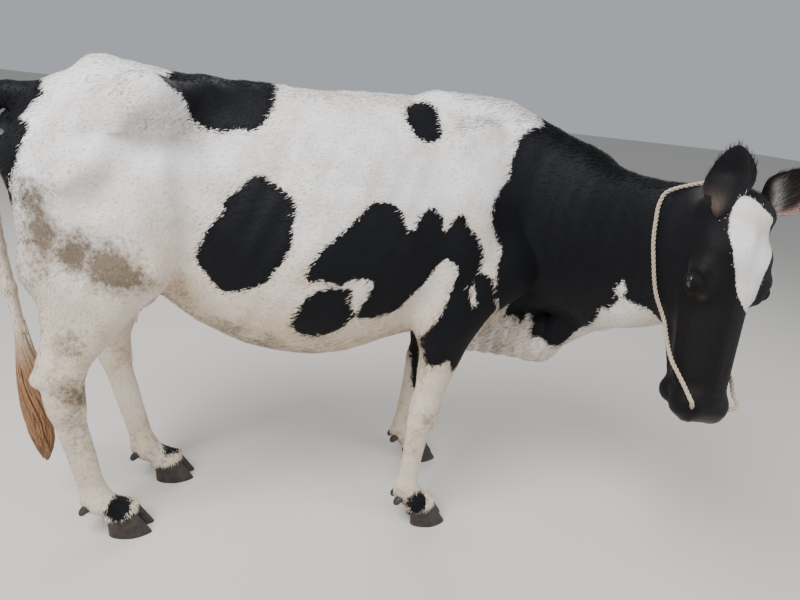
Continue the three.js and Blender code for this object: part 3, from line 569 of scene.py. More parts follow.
def giveNumbers(mesh, key, values):
    # one number or one vector for each vertex, under this name
    values = np.asarray(values, np.float32)
    if values.ndim == 2:
        mesh.attributes.new(key, "FLOAT_VECTOR", "POINT").data.foreach_set("vector", values.ravel())
    else:
        mesh.attributes.new(key, "FLOAT", "POINT").data.foreach_set("value", values)


def vertsOf(piece):
    # the vertices, in the cow's frame
    flat = np.empty(len(piece.data.vertices) * 3, np.float32)
    piece.data.vertices.foreach_get("co", flat)
    return fromRow(flat.reshape(-1, 3).astype(float))


def trisOf(piece):
    # three vertex numbers for each triangle
    piece.data.calc_loop_triangles()
    flat = np.empty(len(piece.data.loop_triangles) * 3, np.int32)
    piece.data.loop_triangles.foreach_get("vertices", flat)
    return flat.reshape(-1, 3)


def normalsOf(piece):
    # the mesh's own vertex normals
    flat = np.empty(len(piece.data.vertices) * 3, np.float32)
    piece.data.vertices.foreach_get("normal", flat)
    return flat.reshape(-1, 3).astype(float)


# which part of the body a point belongs to, and the way its hair lies
def groupFields(p):
    # the field of each part of the body alone, in mm
    fields = {"trunk": trunkField(p[:, 0], p[:, 1], p[:, 2])}
    for bar in bars:
        f = fields.setdefault(bar["group"], np.full(len(p), 900.0))
        near = np.all((p > bar["low"] - 60) & (p < bar["high"] + 60), axis=1)
        f[near] = np.minimum(f[near], barField(bar, *p[near].T))
    return fields


def groupWeights(p, softness=16.0):
    # exp of minus each part's distance beyond the nearest, shared out to 1
    fields = groupFields(p)
    least = np.min(list(fields.values()), axis=0)
    weights = {name: np.exp(-(f - least) / softness) for name, f in fields.items()}
    total = sum(weights.values())
    return {name: w / total for name, w in weights.items()}


def byEar(ear, p):
    # within reach of this ear, and on its side of the head's middle
    close = np.linalg.norm(p - ear["root"], axis=1) < earLook["reach"]
    return close & (headCoordinates(p)[:, 2] * ear["side"] > 0)


def earPlace(p):
    # for the ear on that side: how far along it, across it and off its bent middle, and how much p is on it
    place = np.zeros((len(p), 4))
    beyond = ramp(1.0, 7.0, bodyField(p))
    for ear in ears.values():
        q = p - ear["root"]
        near = byEar(ear, p)
        along = q[near] @ ear["tangent"]
        t = np.clip((along + earLook["stalk"]) / (earLook["length"] + earLook["stalk"]), 0, 1)
        forward, outward, drawn = earFoot(ear, along)
        x = q[near] @ ear["across"] - outward
        off = q[near] @ ear["face"] - earBend(t, x) - forward
        on = beyond[near] * ramp(-22, 2, along) * (np.abs(off) < 34)
        place[near] = np.stack([t, x / (earHalf(t) * drawn), off, on], axis=1)
    return place


neckAt = np.array([row[0] for row in neckRows], float)


def lieOf(p, normal, weights, onEar):
    # the sum of each part's own direction by its weight, laid flat on the skin
    face = headCoordinates(p)
    down = np.clip((face[:, 0] - 118) / 55, -1, 1)
    sideways = np.clip(face[:, 2] / 60, -1, 1)
    headLie = np.stack([down, -0.35 * np.abs(sideways), 0.45 * sideways * (1 - np.abs(down))], axis=1)
    headLie = headLie @ headAxes
    back = np.interp(-p[:, 1], -neckAt[:, 1], np.linspace(-1, -0.15, len(neckAt)))
    neckLie = np.stack([back, 1 - np.abs(back) * 0.9, np.full(len(p), -0.5)], axis=1)
    thigh = ramp(480, 760, p[:, 2])
    legLie = np.stack([-0.1 - 0.4 * thigh, 0 * thigh, -1 + 0 * thigh], axis=1)
    ways = {"trunk": np.array([-0.88, 0, -0.48]), "head": headLie, "neck": neckLie, "leg": legLie,
            "tail": np.array([-0.15, 0, -1]), "udder": np.array([-0.4, 0, -0.9])}
    lie = sum(weights[part][:, None] * way for part, way in ways.items())
    for ear in ears.values():
        close = byEar(ear, p)[:, None]
        lie = np.where(close, lie * (1 - onEar[:, None]) + ear["tangent"] * onEar[:, None], lie)
    swirl = 0.35 * softNoise(p, 70.0, 5)[:, None]
    lie = unit(lie) + swirl * np.cross(normal, unit(lie))
    return unit(lie - normal * np.einsum("ij,ij->i", lie, normal)[:, None])


# relief of the skin: ribs, spine, shoulder, folds, face
relief = {"rib": 2.0, "ribEvery": 64.0, "spine": 1.0, "spineEvery": 52.0, "lumps": 1.5, "folds": 4.5,
          "foldsEvery": 43.0, "wrinkles": 1.6, "hip": 12.0}
# ridges and hollows of both sides, then of the hips: height in mm, from and to in x and z, width
sideStrips = [(3.5, [330, 1190], [378, 880], 15), (-3, [318, 1080], [318, 780], 22),
              (-4, [425, 880], [395, 700], 16), (4.5, [-405, 1190], [-330, 760], 18),
              (-4, [-345, 1150], [-300, 840], 30), (-3.5, [-560, 1010], [-575, 760], 14),
              (1.6, [-330, 640], [200, 600], 7)]
hipStrips = [(11, [-425, 1200], [-580, 1015], 24), (-14, [-400, 1130], [-525, 975], 34)]


def strip(a, b, p, columns):
    # distance from the segment a to b in two of the three directions
    a, b, q = np.asarray(a, float), np.asarray(b, float), p[:, columns]
    t = np.clip((q - a) @ (b - a) / ((b - a) @ (b - a)), 0, 1)
    return np.linalg.norm(q - a - t[:, None] * (b - a), axis=1)


def reliefOf(p, weights):
    # heights in mm along the normal, each a wave or a bell over a stated place
    x, y, z = p.T
    trunk = weights["trunk"]
    flank = ramp(60, 150, np.abs(y)) * ramp(640, 760, z) * (1 - ramp(1130, 1230, z))
    barrel = flank * ramp(-260, -150, x) * (1 - ramp(230, 330, x))
    phase = (x - 0.45 * (z - 1000)) / relief["ribEvery"]
    high = relief["rib"] * barrel * trunk * np.cos(2 * np.pi * phase) * (0.65 + 0.35 * softNoise(p, 150, 11))
    top = bump(y, 0, 16) * ramp(1150, 1200, z) * ramp(-600, -520, x) * (1 - ramp(420, 520, x))
    high += relief["spine"] * top * np.cos(2 * np.pi * x / relief["spineEvery"])
    both = trunk + weights["leg"]
    out, hip = both * ramp(70, 120, np.abs(y)), both * ramp(100, 130, np.abs(y))
    for share, strips in ((out, sideStrips), (hip, hipStrips)):
        for height, start, end, width in strips:
            high += height * share * bump(strip(start, end, p, [0, 2]), 0, width)
    high += relief["hip"] * hip * bump(z, 1137, 34) * ramp(-650, -560, x) * (1 - ramp(-420, -355, x))
    high += 8 * hip * bump(x, -330, 30) * bump(z, 1180, 50)
    lumps = softNoise(p, 64, 3) + 0.5 * softNoise(p, 30, 4)
    high += relief["lumps"] * lumps * (trunk + 0.6 * weights["neck"] + 0.35 * weights["leg"])
    swayed = x + 0.12 * z + 9 * softNoise(p, 60, 8)
    folds = 2 * np.abs(np.sin(np.pi * swayed / relief["foldsEvery"])) ** 0.7 - 1
    brisket = (weights["neck"] + 0.7 * trunk) * ramp(455, 500, x) * (1 - ramp(690, 760, x))
    brisket *= 1 - ramp(650, 740, z)
    high += relief["folds"] * brisket * folds
    across = np.sin(2 * np.pi * (-0.75 * y + 0.5 * x + 8 * softNoise(p, 80, 9)) / 46)
    across *= ramp(840, 930, z) * (0.5 + 0.5 * softNoise(p, 110, 12))
    high += relief["wrinkles"] * weights["neck"] * across
    for leg in allLegs.values():
        cx, cy, _ = leg["coronet"]
        foot = (np.abs(x - cx) < 130) & (np.abs(y - cy) < 90) & (z < 190)
        line = flesh["coronetHeight"] + flesh["coronetSlope"] * (x - cx)
        high += foot * 3.0 * bump(z, line + 6, 9)
        cleft = bump(y, cy, 7) * (1 - ramp(line + 10, line + 55, z)) * ramp(4, 22, np.abs(x - cx + 10))
        high -= foot * 7.0 * cleft
    return high + faceRelief(p, weights["head"])


def faceRelief(p, head):
    # the same in head coordinates: length from the poll, height off the face, and left
    along, off, left = headCoordinates(p).T
    side, profile = np.abs(left), np.stack([along, off], axis=1)
    cheek = ramp(15, 30, side)
    high = -4.0 * bump(along, 118, 26) * bump(side, 88, 20) * bump(off, -82, 24)
    high += 2.6 * bump(strip([212, -92], [335, -88], profile, [0, 1]), 0, 9) * ramp(30, 45, side)
    high += 2.2 * bump(along, 100, 55) * bump(off, -172, 14) * ramp(30, 45, side)
    high -= 3.0 * bump(strip([250, -150], [375, -112], profile, [0, 1]), 0, 11) * cheek
    high -= 1.2 * bump(side, 0, 10) * ramp(250, 300, along) * (1 - ramp(390, 420, along))
    high -= 5.0 * bump(off, -97 + 0.05 * (along - 420), 3.6) * ramp(366, 392, along)   # the mouth
    high += 2.0 * bump(off, -88, 6) * ramp(380, 410, along) + 1.5 * bump(off, -108, 6) * ramp(390, 415, along)
    nostril = np.hypot((along - 449) / 13.0, ((side - 33) - 0.3 * (off + 58)) / 7.5)
    nostril = np.hypot(nostril, (off + 60) / 15.0)
    high += 2.2 * bump(nostril, 1.35, 0.35) - 13.0 * (1 - ramp(0.35, 1.05, nostril))
    high -= 1.2 * bump(side, 0, 2.2) * ramp(440, 452, along) * (1 - ramp(-75, -60, -off))
    high += 0.5 * np.sin(off / 2.1 + 2 * softNoise(p, 20, 21)) * bump(along, 330, 60) * cheek * (off < -60)
    creases = np.sin(np.hypot(along - 186, off + 47) / 1.9)
    high += 0.6 * creases * bump(np.hypot(along - 190, off + 55), 36, 9) * ramp(60, 75, side)
    return high * head


# eyes and lids
eyeLook = {"radius": flesh["eyeRadius"], "lid": 2.0, "half": 14.0, "above": 1.7, "below": 2.6, "sink": 4.5,
           "pupilWide": 7.0, "pupilTall": 3.4, "iris": 12.6, "pupilColour": "050405", "irisColour": "1f120b",
           "rimColour": "2b1e18"}
eyes = {}
for name, side in (("right", -1), ("left", 1)):
    axis = unit(np.array([0.10, 0.22, 0.96 * side]) @ headAxes)
    level = headAxes[0] * 0.97 - headAxes[1] * 0.24
    toNose = unit(level - axis * (axis @ level))
    eyes[name] = {"centre": onHead(186, -47, side * 92), "axis": axis, "toNose": toNose,
                  "up": np.cross(axis, toNose) * -side}


def eyeSpan(eye, p):
    # how far towards the nose, up and out from the ball's middle
    q = p - eye["centre"]
    return q @ eye["toNose"], q @ eye["up"], q @ eye["axis"]


def opening(u, v):
    # how far inside the almond: two arcs of a parabola that meet at the corners
    arch = 1 - (u / eyeLook["half"]) ** 2
    return np.minimum(eyeLook["above"] * arch - v, v + eyeLook["below"] * arch)


def fromEyes(p):
    # distance to the nearer ball's middle
    return np.min([np.linalg.norm(p - eye["centre"], axis=1) for eye in eyes.values()], axis=0)


def lidded(p):
    # the lids are drawn over the ball at its radius and their thickness, and sunk into it within the almond
    for eye in eyes.values():
        u, v, w = eyeSpan(eye, p)
        rho = np.hypot(u, v)
        share = (1 - ramp(19, 33, rho)) * ramp(-6, 4, w)
        deep = opening(u, v)
        crease = 1.3 * bump(deep, -8.5, 1.6) + 0.9 * bump(deep, -13, 1.6)
        rim = 0.8 * bump(deep, -1.8, 1.3)
        sunk = (eyeLook["sink"] + eyeLook["lid"]) * ramp(-0.9, 0.9, deep)
        radius = eyeLook["radius"] + eyeLook["lid"] - crease + rim - sunk
        target = eye["centre"] + unit(p - eye["centre"]) * radius[:, None]
        p = p + (target - p) * share[:, None]
    return p


# the skin itself
def makeSkin():
    # the field's zero surface: a net over the grid, split finer where needed, settled, then given its relief
    low, high = [-850, -745, -5], [995, 285, 1320]
    verts, quads = surfaceNet(bodyGrid(low, high, flesh["cell"]), low, flesh["cell"])
    tris = splitQuads(verts, quads)

    def nearHead(p):
        return (groupWeights(p)["head"] > 0.3) | (np.linalg.norm(p - onHead(200, -80, 0), axis=1) < 150)

    def nearFeet(p):
        return (p[:, 2] < 150) | ((np.abs(p[:, 0] + 475) < 80) & (np.abs(p[:, 1]) < 75) & (p[:, 2] < 625))

    def nearEyesOrMuzzle(p):
        along, off, _ = headCoordinates(p).T
        muzzle = np.linalg.norm(p - onHead(430, -80, 0), axis=1) < 110
        return (fromEyes(p) < 44) | ((along > 385) & (off > -150) & muzzle)

    def nearLids(p):
        return fromEyes(p) < 29

    for region in (lambda p: nearHead(p) | nearFeet(p), nearEyesOrMuzzle, nearLids):
        verts, tris = refine(verts, tris, region(verts))
    verts, normals = settled(verts)
    weights = groupWeights(verts)
    verts = lidded(verts + normals * reliefOf(verts, weights)[:, None])
    return makePiece("skin", verts, outwards(verts, [tris]))


def joinEars(skin):
    # each leaf is joined by a boolean, and the seam round its foot evened out
    for name, ear in ears.items():
        verts, faces = loft(earSurface(ear))
        leaf = makePiece("earleaf_" + name, verts, outwards(verts, faces))
        join = skin.modifiers.new("ear_" + name, "BOOLEAN")
        join.operation, join.solver, join.object = "UNION", "MANIFOLD", leaf
        bpy.context.view_layer.objects.active = skin
        bpy.ops.object.modifier_apply(modifier=join.name)
        bpy.data.objects.remove(leaf)
    verts, tris = vertsOf(skin), trisOf(skin)
    seam = np.zeros(len(verts), bool)
    for ear in ears.values():
        along = (verts - ear["root"]) @ ear["tangent"]
        close = np.linalg.norm(verts - ear["root"], axis=1) < 75
        seam |= close & (along > -22) & (along < 42) & (np.abs(bodyField(verts)) < 7)
    verts = relaxed(verts, tris, seam, 8)
    skin.data.vertices.foreach_set("co", toRow(verts).astype(np.float32).ravel())
    skin.data.update()
    return skin


def relaxed(verts, tris, chosen, rounds):
    # each chosen vertex moves halfway to the mean of its neighbours
    ends = np.concatenate([tris[:, [0, 1]], tris[:, [1, 2]], tris[:, [2, 0]]])
    count = np.bincount(ends[:, 0], minlength=len(verts)) + 1e-9
    for _ in range(rounds):
        mean = np.stack([np.bincount(ends[:, 0], verts[ends[:, 1], k], len(verts)) for k in range(3)], axis=1)
        mean /= count[:, None]
        verts = np.where(chosen[:, None], (verts + mean) / 2, verts)
    return verts


skin = joinEars(makeSkin())
print("skin:", len(skin.data.vertices), "points,", len(trisOf(skin)), "triangles")


# markings: closed outlines in mm, black inside
# "girth" outlines give x and 300 mm times the angle round the middle line, up from level on that side;
# "side" outlines give x and height; "neck" outlines the same, with the neck's way to the right added to x
girth = {"middle": 900, "perRadian": 300}   # mm
patches = {
    "saddle": {"chart": "girth", "side": -1, "outline": [
        (-391, 351), (-378, 328), (-364, 326), (-342, 338), (-327, 337), (-311, 334), (-295, 332),
        (-277, 331), (-245, 328), (-222, 335), (-182, 328), (-155, 351), (-136, 384), (-127, 421),
        (-126, 460), (-138, 520), (-190, 575), (-280, 600), (-352, 560), (-378, 470), (-394, 400)]},
    "flank": {"chart": "girth", "side": -1, "outline": [
        (-163, 215), (-106, 170), (-78, 136), (-81, 81), (-85, 0), (-118, -62), (-142, -106), (-230, -167),
        (-257, -160), (-286, -122), (-308, -83), (-282, 34), (-246, 101), (-240, 137), (-202, 185)]},
    "ribs": {"chart": "girth", "side": -1, "outline": [
        (-42, -86), (-35, -39), (-2, 16), (57, 80), (88, 123), (118, 152), (164, 156), (195, 130),
        (209, 83), (232, 85), (240, 123), (278, 164), (308, 141), (318, 86), (354, 149), (379, 109),
        (421, 45), (433, -32), (428, -85), (414, -131), (392, -112), (369, -87), (366, -60), (346, -34),
        (324, -30), (278, -117), (245, -155), (185, -196), (108, -190), (93, -172), (120, -117), (122, -79),
        (71, -71), (42, -90), (-11, -78)]},
    "belly": {"chart": "girth", "side": -1, "outline": [
        (-70, -215), (-61, -170), (-23, -112), (43, -96), (74, -104), (73, -141), (88, -174), (56, -210),
        (30, -229), (0, -240), (-40, -238)]},
    "withers": {"chart": "girth", "side": -1, "outline": [
        (202, 391), (215, 423), (259, 438), (291, 415), (299, 367), (290, 348), (267, 339), (242, 338),
        (215, 359)]},
    "forearm": {"chart": "side", "side": -1, "inside": 125, "outline": [
        (375, 850), (363, 821), (348, 771), (332, 728), (309, 686), (293, 640), (310, 601), (321, 567),
        (350, 568), (376, 589), (400, 548), (430, 580), (450, 640), (480, 712), (497, 742), (482, 793),
        (462, 842), (440, 850), (426, 845), (418, 816), (429, 762), (420, 758), (408, 801), (390, 838)]},
    "neck right": {"chart": "neck", "side": -1, "outline": [
        (660, 1400), (628, 1290), (600, 1245), (564, 1235), (532, 1213), (514, 1181), (510, 1145),
        (520, 1106), (512, 1073), (514, 1014), (539, 953), (569, 914), (569, 880), (579, 830), (590, 768),
        (578, 715), (579, 687), (601, 690), (616, 688), (626, 664), (637, 672), (645, 703), (662, 688),
        (674, 636), (713, 634), (742, 626), (762, 616), (803, 624), (835, 660), (860, 689), (887, 716),
        (922, 741), (950, 778), (966, 822), (992, 822), (1011, 842), (1026, 868), (1002, 878), (1010, 894),
        (1029, 918), (1050, 897), (1080, 868), (1600, 900), (1600, 1400)]},
    "neck left": {"chart": "neck", "side": 1, "outline": [
        (660, 1400), (628, 1290), (600, 1245), (560, 1225), (500, 1190), (455, 1120), (440, 1030),
        (400, 960), (380, 880), (400, 800), (450, 770), (500, 700), (545, 690), (575, 660), (620, 690),
        (650, 640), (700, 640), (760, 620), (900, 740), (1600, 900), (1600, 1400)]},
    "tail head": {"chart": "side", "side": -1, "outline": [
        (-660, 1195), (-684, 1172), (-690, 1138), (-664, 1125), (-674, 1094), (-690, 1039), (-712, 990),
        (-720, 940), (-900, 940), (-900, 1195)]},
    "tail head left": {"chart": "side", "side": 1, "outline": [
        (-660, 1195), (-676, 1170), (-690, 1130), (-700, 1080), (-710, 1020), (-724, 980), (-900, 980),
        (-900, 1195)]},
    "left ribs": {"chart": "girth", "side": 1, "outline": [
        (-320, 240), (-240, 320), (-120, 330), (-20, 290), (70, 230), (120, 130), (90, 20), (10, -50),
        (-70, -120), (-180, -130), (-250, -60), (-330, 20), (-370, 130)]},
    "left rump": {"chart": "girth", "side": 1, "outline": [
        (-640, 150), (-600, 280), (-520, 330), (-440, 280), (-430, 170), (-480, 60), (-560, 10),
        (-620, 60)]},
    "left belly": {"chart": "girth", "side": 1, "outline": [
        (150, -200), (210, -150), (280, -160), (320, -220), (270, -300), (190, -290)]},
    "left forearm": {"chart": "side", "side": 1, "inside": 110, "outline": [
        (392, 560), (400, 470), (420, 400), (440, 330), (425, 290), (398, 310), (385, 380), (368, 470),
        (360, 540)]},
}
# place and radius: a black spot over each outer claw
coronetSpots = [((-518, -150, 88), 34), ((352, -192, 86), 34), ((-420, 135, 84), 36), ((440, 190, 84), 36)]
# length down the face and distance to its left
blazeOutline = [(21, -54), (38, -65), (66, -71), (86, -70), (111, -64), (141, -50), (164, -35), (191, -21),
                (212, -4), (230, 25), (227, 44), (210, 54), (189, 53), (168, 49), (143, 51), (113, 57), (92, 63),
                (74, 50), (60, 42), (48, 52), (40, 38), (32, 12), (22, -6), (15, -21), (14, -38)]
# from and to in x and z, half width: white lines within the black of the right forearm
slivers = [((418, 820), (430, 764), 1.5), ((487, 782), (508, 738), 3.0)]


def smoothLoop(points, parts=4):
    # a closed Catmull-Rom curve through the points
    p = np.asarray(points, float)
    t = np.arange(parts)[None, :, None] / parts
    a, b, c, d = (np.roll(p, shift, axis=0)[:, None, :] for shift in (1, 0, -1, -2))
    curve = b + 0.5 * t * (c - a + t * (2 * a - 5 * b + 4 * c - d + t * (3 * (b - c) + d - a)))
    return curve.reshape(-1, p.shape[1])


def within(outline, q):
    # distance to the outline, positive inside it and negative outside
    curve = smoothLoop(outline)
    least, inside = np.full(len(q), 1e9), np.zeros(len(q), bool)
    for a, b in zip(curve, np.roll(curve, -1, axis=0)):
        t = np.clip((q - a) @ (b - a) / max((b - a) @ (b - a), 1e-9), 0, 1)
        least = np.minimum(least, np.linalg.norm(q - a - t[:, None] * (b - a), axis=1))
        crosses = (a[1] > q[:, 1]) != (b[1] > q[:, 1])
        at = a[0] + (q[:, 1] - a[1]) * (b[0] - a[0]) / (b[1] - a[1] if b[1] != a[1] else 1e-9)
        inside ^= crosses & (q[:, 0] < at)
    return np.where(inside, least, -least)


def blackness(p, weights):
    # the greatest of all the outlines' distances, with the white blaze and slivers taken out again
    x, y, z = p.T
    black = np.full(len(p), -80.0)
    bodyOnly = 1 - ramp(0.35, 0.65, weights["head"])
    for patch in patches.values():
        side = patch["side"]
        if patch["chart"] == "girth":
            turn = np.arctan2(z - girth["middle"], side * y)
            q = np.stack([x, girth["perRadian"] * turn], axis=1)
            inside = within(patch["outline"], q)
            inside = np.where(z > 560, inside, -80)
        else:
            swept = np.maximum(-y - 120, 0) * (patch["chart"] == "neck")
            inside = within(patch["outline"], np.stack([x + swept, z], axis=1))
            inside = np.minimum(inside, side * y - patch.get("inside", -20))
        black = np.maximum(black, inside)
    for place, radius in coronetSpots:
        black = np.maximum(black, radius - np.linalg.norm((p - place) * [1, 0.8, 1], axis=1))
    for a, b, half in slivers:
        sliver = strip(a, b, p, [0, 2]) - half
        black = np.where(y < -120, np.minimum(black, sliver), black)
    tail = np.interp(z, [560, 930, 1000, 1100, 1180], [-60, -40, 20, 60, 60])
    black = black * (1 - weights["tail"]) + tail * weights["tail"]
    black = black * bodyOnly + 60 * (1 - bodyOnly)
    along, off, left = headCoordinates(p).T
    white = within(blazeOutline, np.stack([along, left], axis=1))
    onFace = (off > -75) & (along > 0) & (along < 300)
    return np.where(onFace, np.minimum(black, -white), black)


# x, y, z in mm, radius, strength: where the coat is stained brown from lying down
stains = [((-655, -190, 975), 75, 1.0), ((-640, -185, 900), 80, 1.0), ((-560, -225, 860), 75, 0.95),
          ((-500, -240, 830), 85, 1.0), ((-440, -245, 810), 60, 0.9), ((-650, -170, 800), 70, 0.8),
          ((-600, -190, 640), 80, 0.6), ((-590, -190, 470), 80, 0.75), ((-590, -175, 360), 60, 0.6),
          ((-230, -170, 640), 90, 0.75), ((-130, -150, 590), 90, 0.8), ((-40, -130, 560), 90, 0.6),
          ((345, -195, 370), 45, 0.6), ((365, -200, 320), 30, 0.6), ((-560, 200, 860), 110, 0.9),
          ((-600, 160, 470), 80, 0.6), ((-150, 160, 600), 130, 0.7), ((-540, -130, 90), 50, 0.7),
          ((-460, 120, 90), 60, 0.8), ((330, -165, 90), 50, 0.6), ((400, 178, 90), 50, 0.6),
          ((420, 175, 360), 45, 0.6), ((100, 0, 545), 150, 0.5), ((540, -60, 600), 110, 0.6),
          ((-480, 0, 700), 90, 0.4)]


def coatNumbers(p, normal, weights, onEar):
    # what the coat's material reads at each point
    x, y, z = p.T
    stain = np.zeros(len(p))
    for place, radius, strength in stains:
        stain = np.maximum(stain, strength * np.exp(-np.sum((p - place) ** 2, axis=1) / radius ** 2))
    stain = np.maximum(stain, 0.3 * (1 - ramp(560, 800, z)) * (weights["trunk"] + weights["leg"]))
    along, off, left = headCoordinates(p).T
    thin = weights["udder"] + 0.5 * bump(z, 640, 90) * (normal[:, 2] < -0.3) * weights["trunk"]
    thin += 0.55 * np.exp(-(strip([-390, 860], [-340, 700], p, [0, 2]) / 60) ** 2) * (np.abs(y) > 120)
    thin += 0.5 * weights["leg"] * bump(z, 640, 60) * (x > 0)
    planum = ramp(446, 456, along + 0.25 * np.maximum(off + 60, 0)) * (off > -90) * weights["head"]
    lip = bump(off, -98, 7) * ramp(395, 420, along) * weights["head"]
    rimmed = np.zeros(len(p))
    for eye in eyes.values():
        u, v, w = eyeSpan(eye, p)
        rimmed = np.maximum(rimmed, ramp(-3.2, -0.6, opening(u, v)) * (w > 0) * (np.hypot(u, v) < 30))
    corner = np.linalg.norm(p - onHead(215, -38, -72), axis=1)
    ear = earPlace(p)
    black = blackness(p, weights)
    along = alongEar(ear[:, 0])
    slant = along + 0.7 * ear[:, 1] * earHalf(ear[:, 0])
    inside = onEar * ramp(-2, 1, ear[:, 2]) * (left > 0)
    pale = inside * bump(slant, 34, 13) * ramp(-0.95, -0.6, ear[:, 1])
    rosy = inside * ramp(0.55, 0.95, ear[:, 1])
    # painted shade and warm bounce light: the white hair turns warmer and darker from 1130 mm down to 620 mm, on
    # the trunk, legs and tail and less on the neck
    warmLowShade = weights["trunk"] + weights["leg"] + 0.6 * weights["neck"] + weights["tail"]
    warmLowShade = (1 - ramp(620, 1130, z)) * warmLowShade
    return {"black": black, "warmLowShade": warmLowShade, "stain": stain, "tone": np.ones(len(p)),
            "thin": np.clip(thin, 0, 1),
            "bare": np.clip(np.maximum(np.maximum(planum, lip), rimmed), 0, 1),
            "inEar": onEar * ramp(-1, 2, ear[:, 2]) * ramp(22, 40, slant),
            "pale": pale * (1 - rosy), "rosy": rosy, "face": ramp(-130, -100, off),
            "brown": np.maximum(0.7 * np.exp(-(corner / 9) ** 2), earSpot(ear)),
            "lieWeights": np.stack([weights["trunk"] + weights["udder"], weights["leg"] + weights["tail"],
                                    weights["head"]], axis=1)}


def earSpot(place):
    # the soft bald place low on the back of each ear: a bell along it times a bell across it
    spot = bump(alongEar(place[:, 0]), 16, 19) * bump(place[:, 1], 0.5, 0.55)
    return spot * (place[:, 3] > 0.3) * (place[:, 2] < 0)


# materials
def linear(hexColour):
    # an sRGB colour to linear values: ((v + 0.055) / 1.055)^2.4, or v / 12.92 for the darkest
    value = [int(hexColour[i:i + 2], 16) / 255 for i in (0, 2, 4)]
    return [v / 12.92 if v < 0.04045 else ((v + 0.055) / 1.055) ** 2.4 for v in value] + [1.0]


def setInputs(tree, node, inputs):
    # each input is given a value or linked to another node's output
    for key, value in inputs.items():
        if hasattr(value, "is_output"):
            tree.links.new(value, node.inputs[key])
        else:
            node.inputs[key].default_value = value


def addNode(tree, kind, inputs=None, out=0, **settings):
    # a node with its settings and inputs; gives one of its outputs, or the node itself when out is None
    node = tree.nodes.new(kind)
    for key, value in settings.items():
        setattr(node, key, value)
    setInputs(tree, node, inputs or {})
    return node if out is None else node.outputs[out]


def newMaterial(name):
    # an empty material with one shader on its surface
    material = bpy.data.materials.new(name)
    material.use_nodes = True
    tree = material.node_tree
    tree.nodes.clear()
    shader = addNode(tree, "ShaderNodeBsdfPrincipled", out=None)
    addNode(tree, "ShaderNodeOutputMaterial", {"Surface": shader.outputs["BSDF"]}, None)
    return material, tree, shader


# colours, one of them a painted warm shade and bounce light for the lower body; the streaks' size across and
# along the hair; how far they and the mottle shift a marking's edge
coatLook = {"white": "e6e5e6", "whiteShade": "c9beb4", "black": "0a0b10", "blackBrown": "120d0c",
            "thin": "d9b09c", "warmLowShade": "cdb795", "stain": "5f5040", "bare": "100e0f", "brown": "51443c",
            "inEar": "1f1816", "pale": "75716e", "rosy": "a08078",
            "acrossMm": 2.6, "alongMm": 15.0, "jagMm": 15.0, "mottleMm": 11.0, "bumpMm": 1.2}


def streaks(tree, direction, seed):
    # noise drawn out along one direction by the ratio of the two sizes
    turn = tuple(Vector(direction).rotation_difference(Vector((1, 0, 0))).to_euler())
    across, along = 1000 / coatLook["acrossMm"], 1000 / coatLook["alongMm"]
    place = addNode(tree, "ShaderNodeTexCoord", out="Object")
    place = addNode(tree, "ShaderNodeMapping", {"Vector": place, "Rotation": turn})
    size = {"Scale": (along, across, across), "Location": (seed, seed, seed)}
    place = addNode(tree, "ShaderNodeMapping", {"Vector": place, **size})
    size = {"Vector": place, "Scale": 1.0, "Detail": 2.5, "Roughness": 0.6}
    return addNode(tree, "ShaderNodeTexNoise", size)


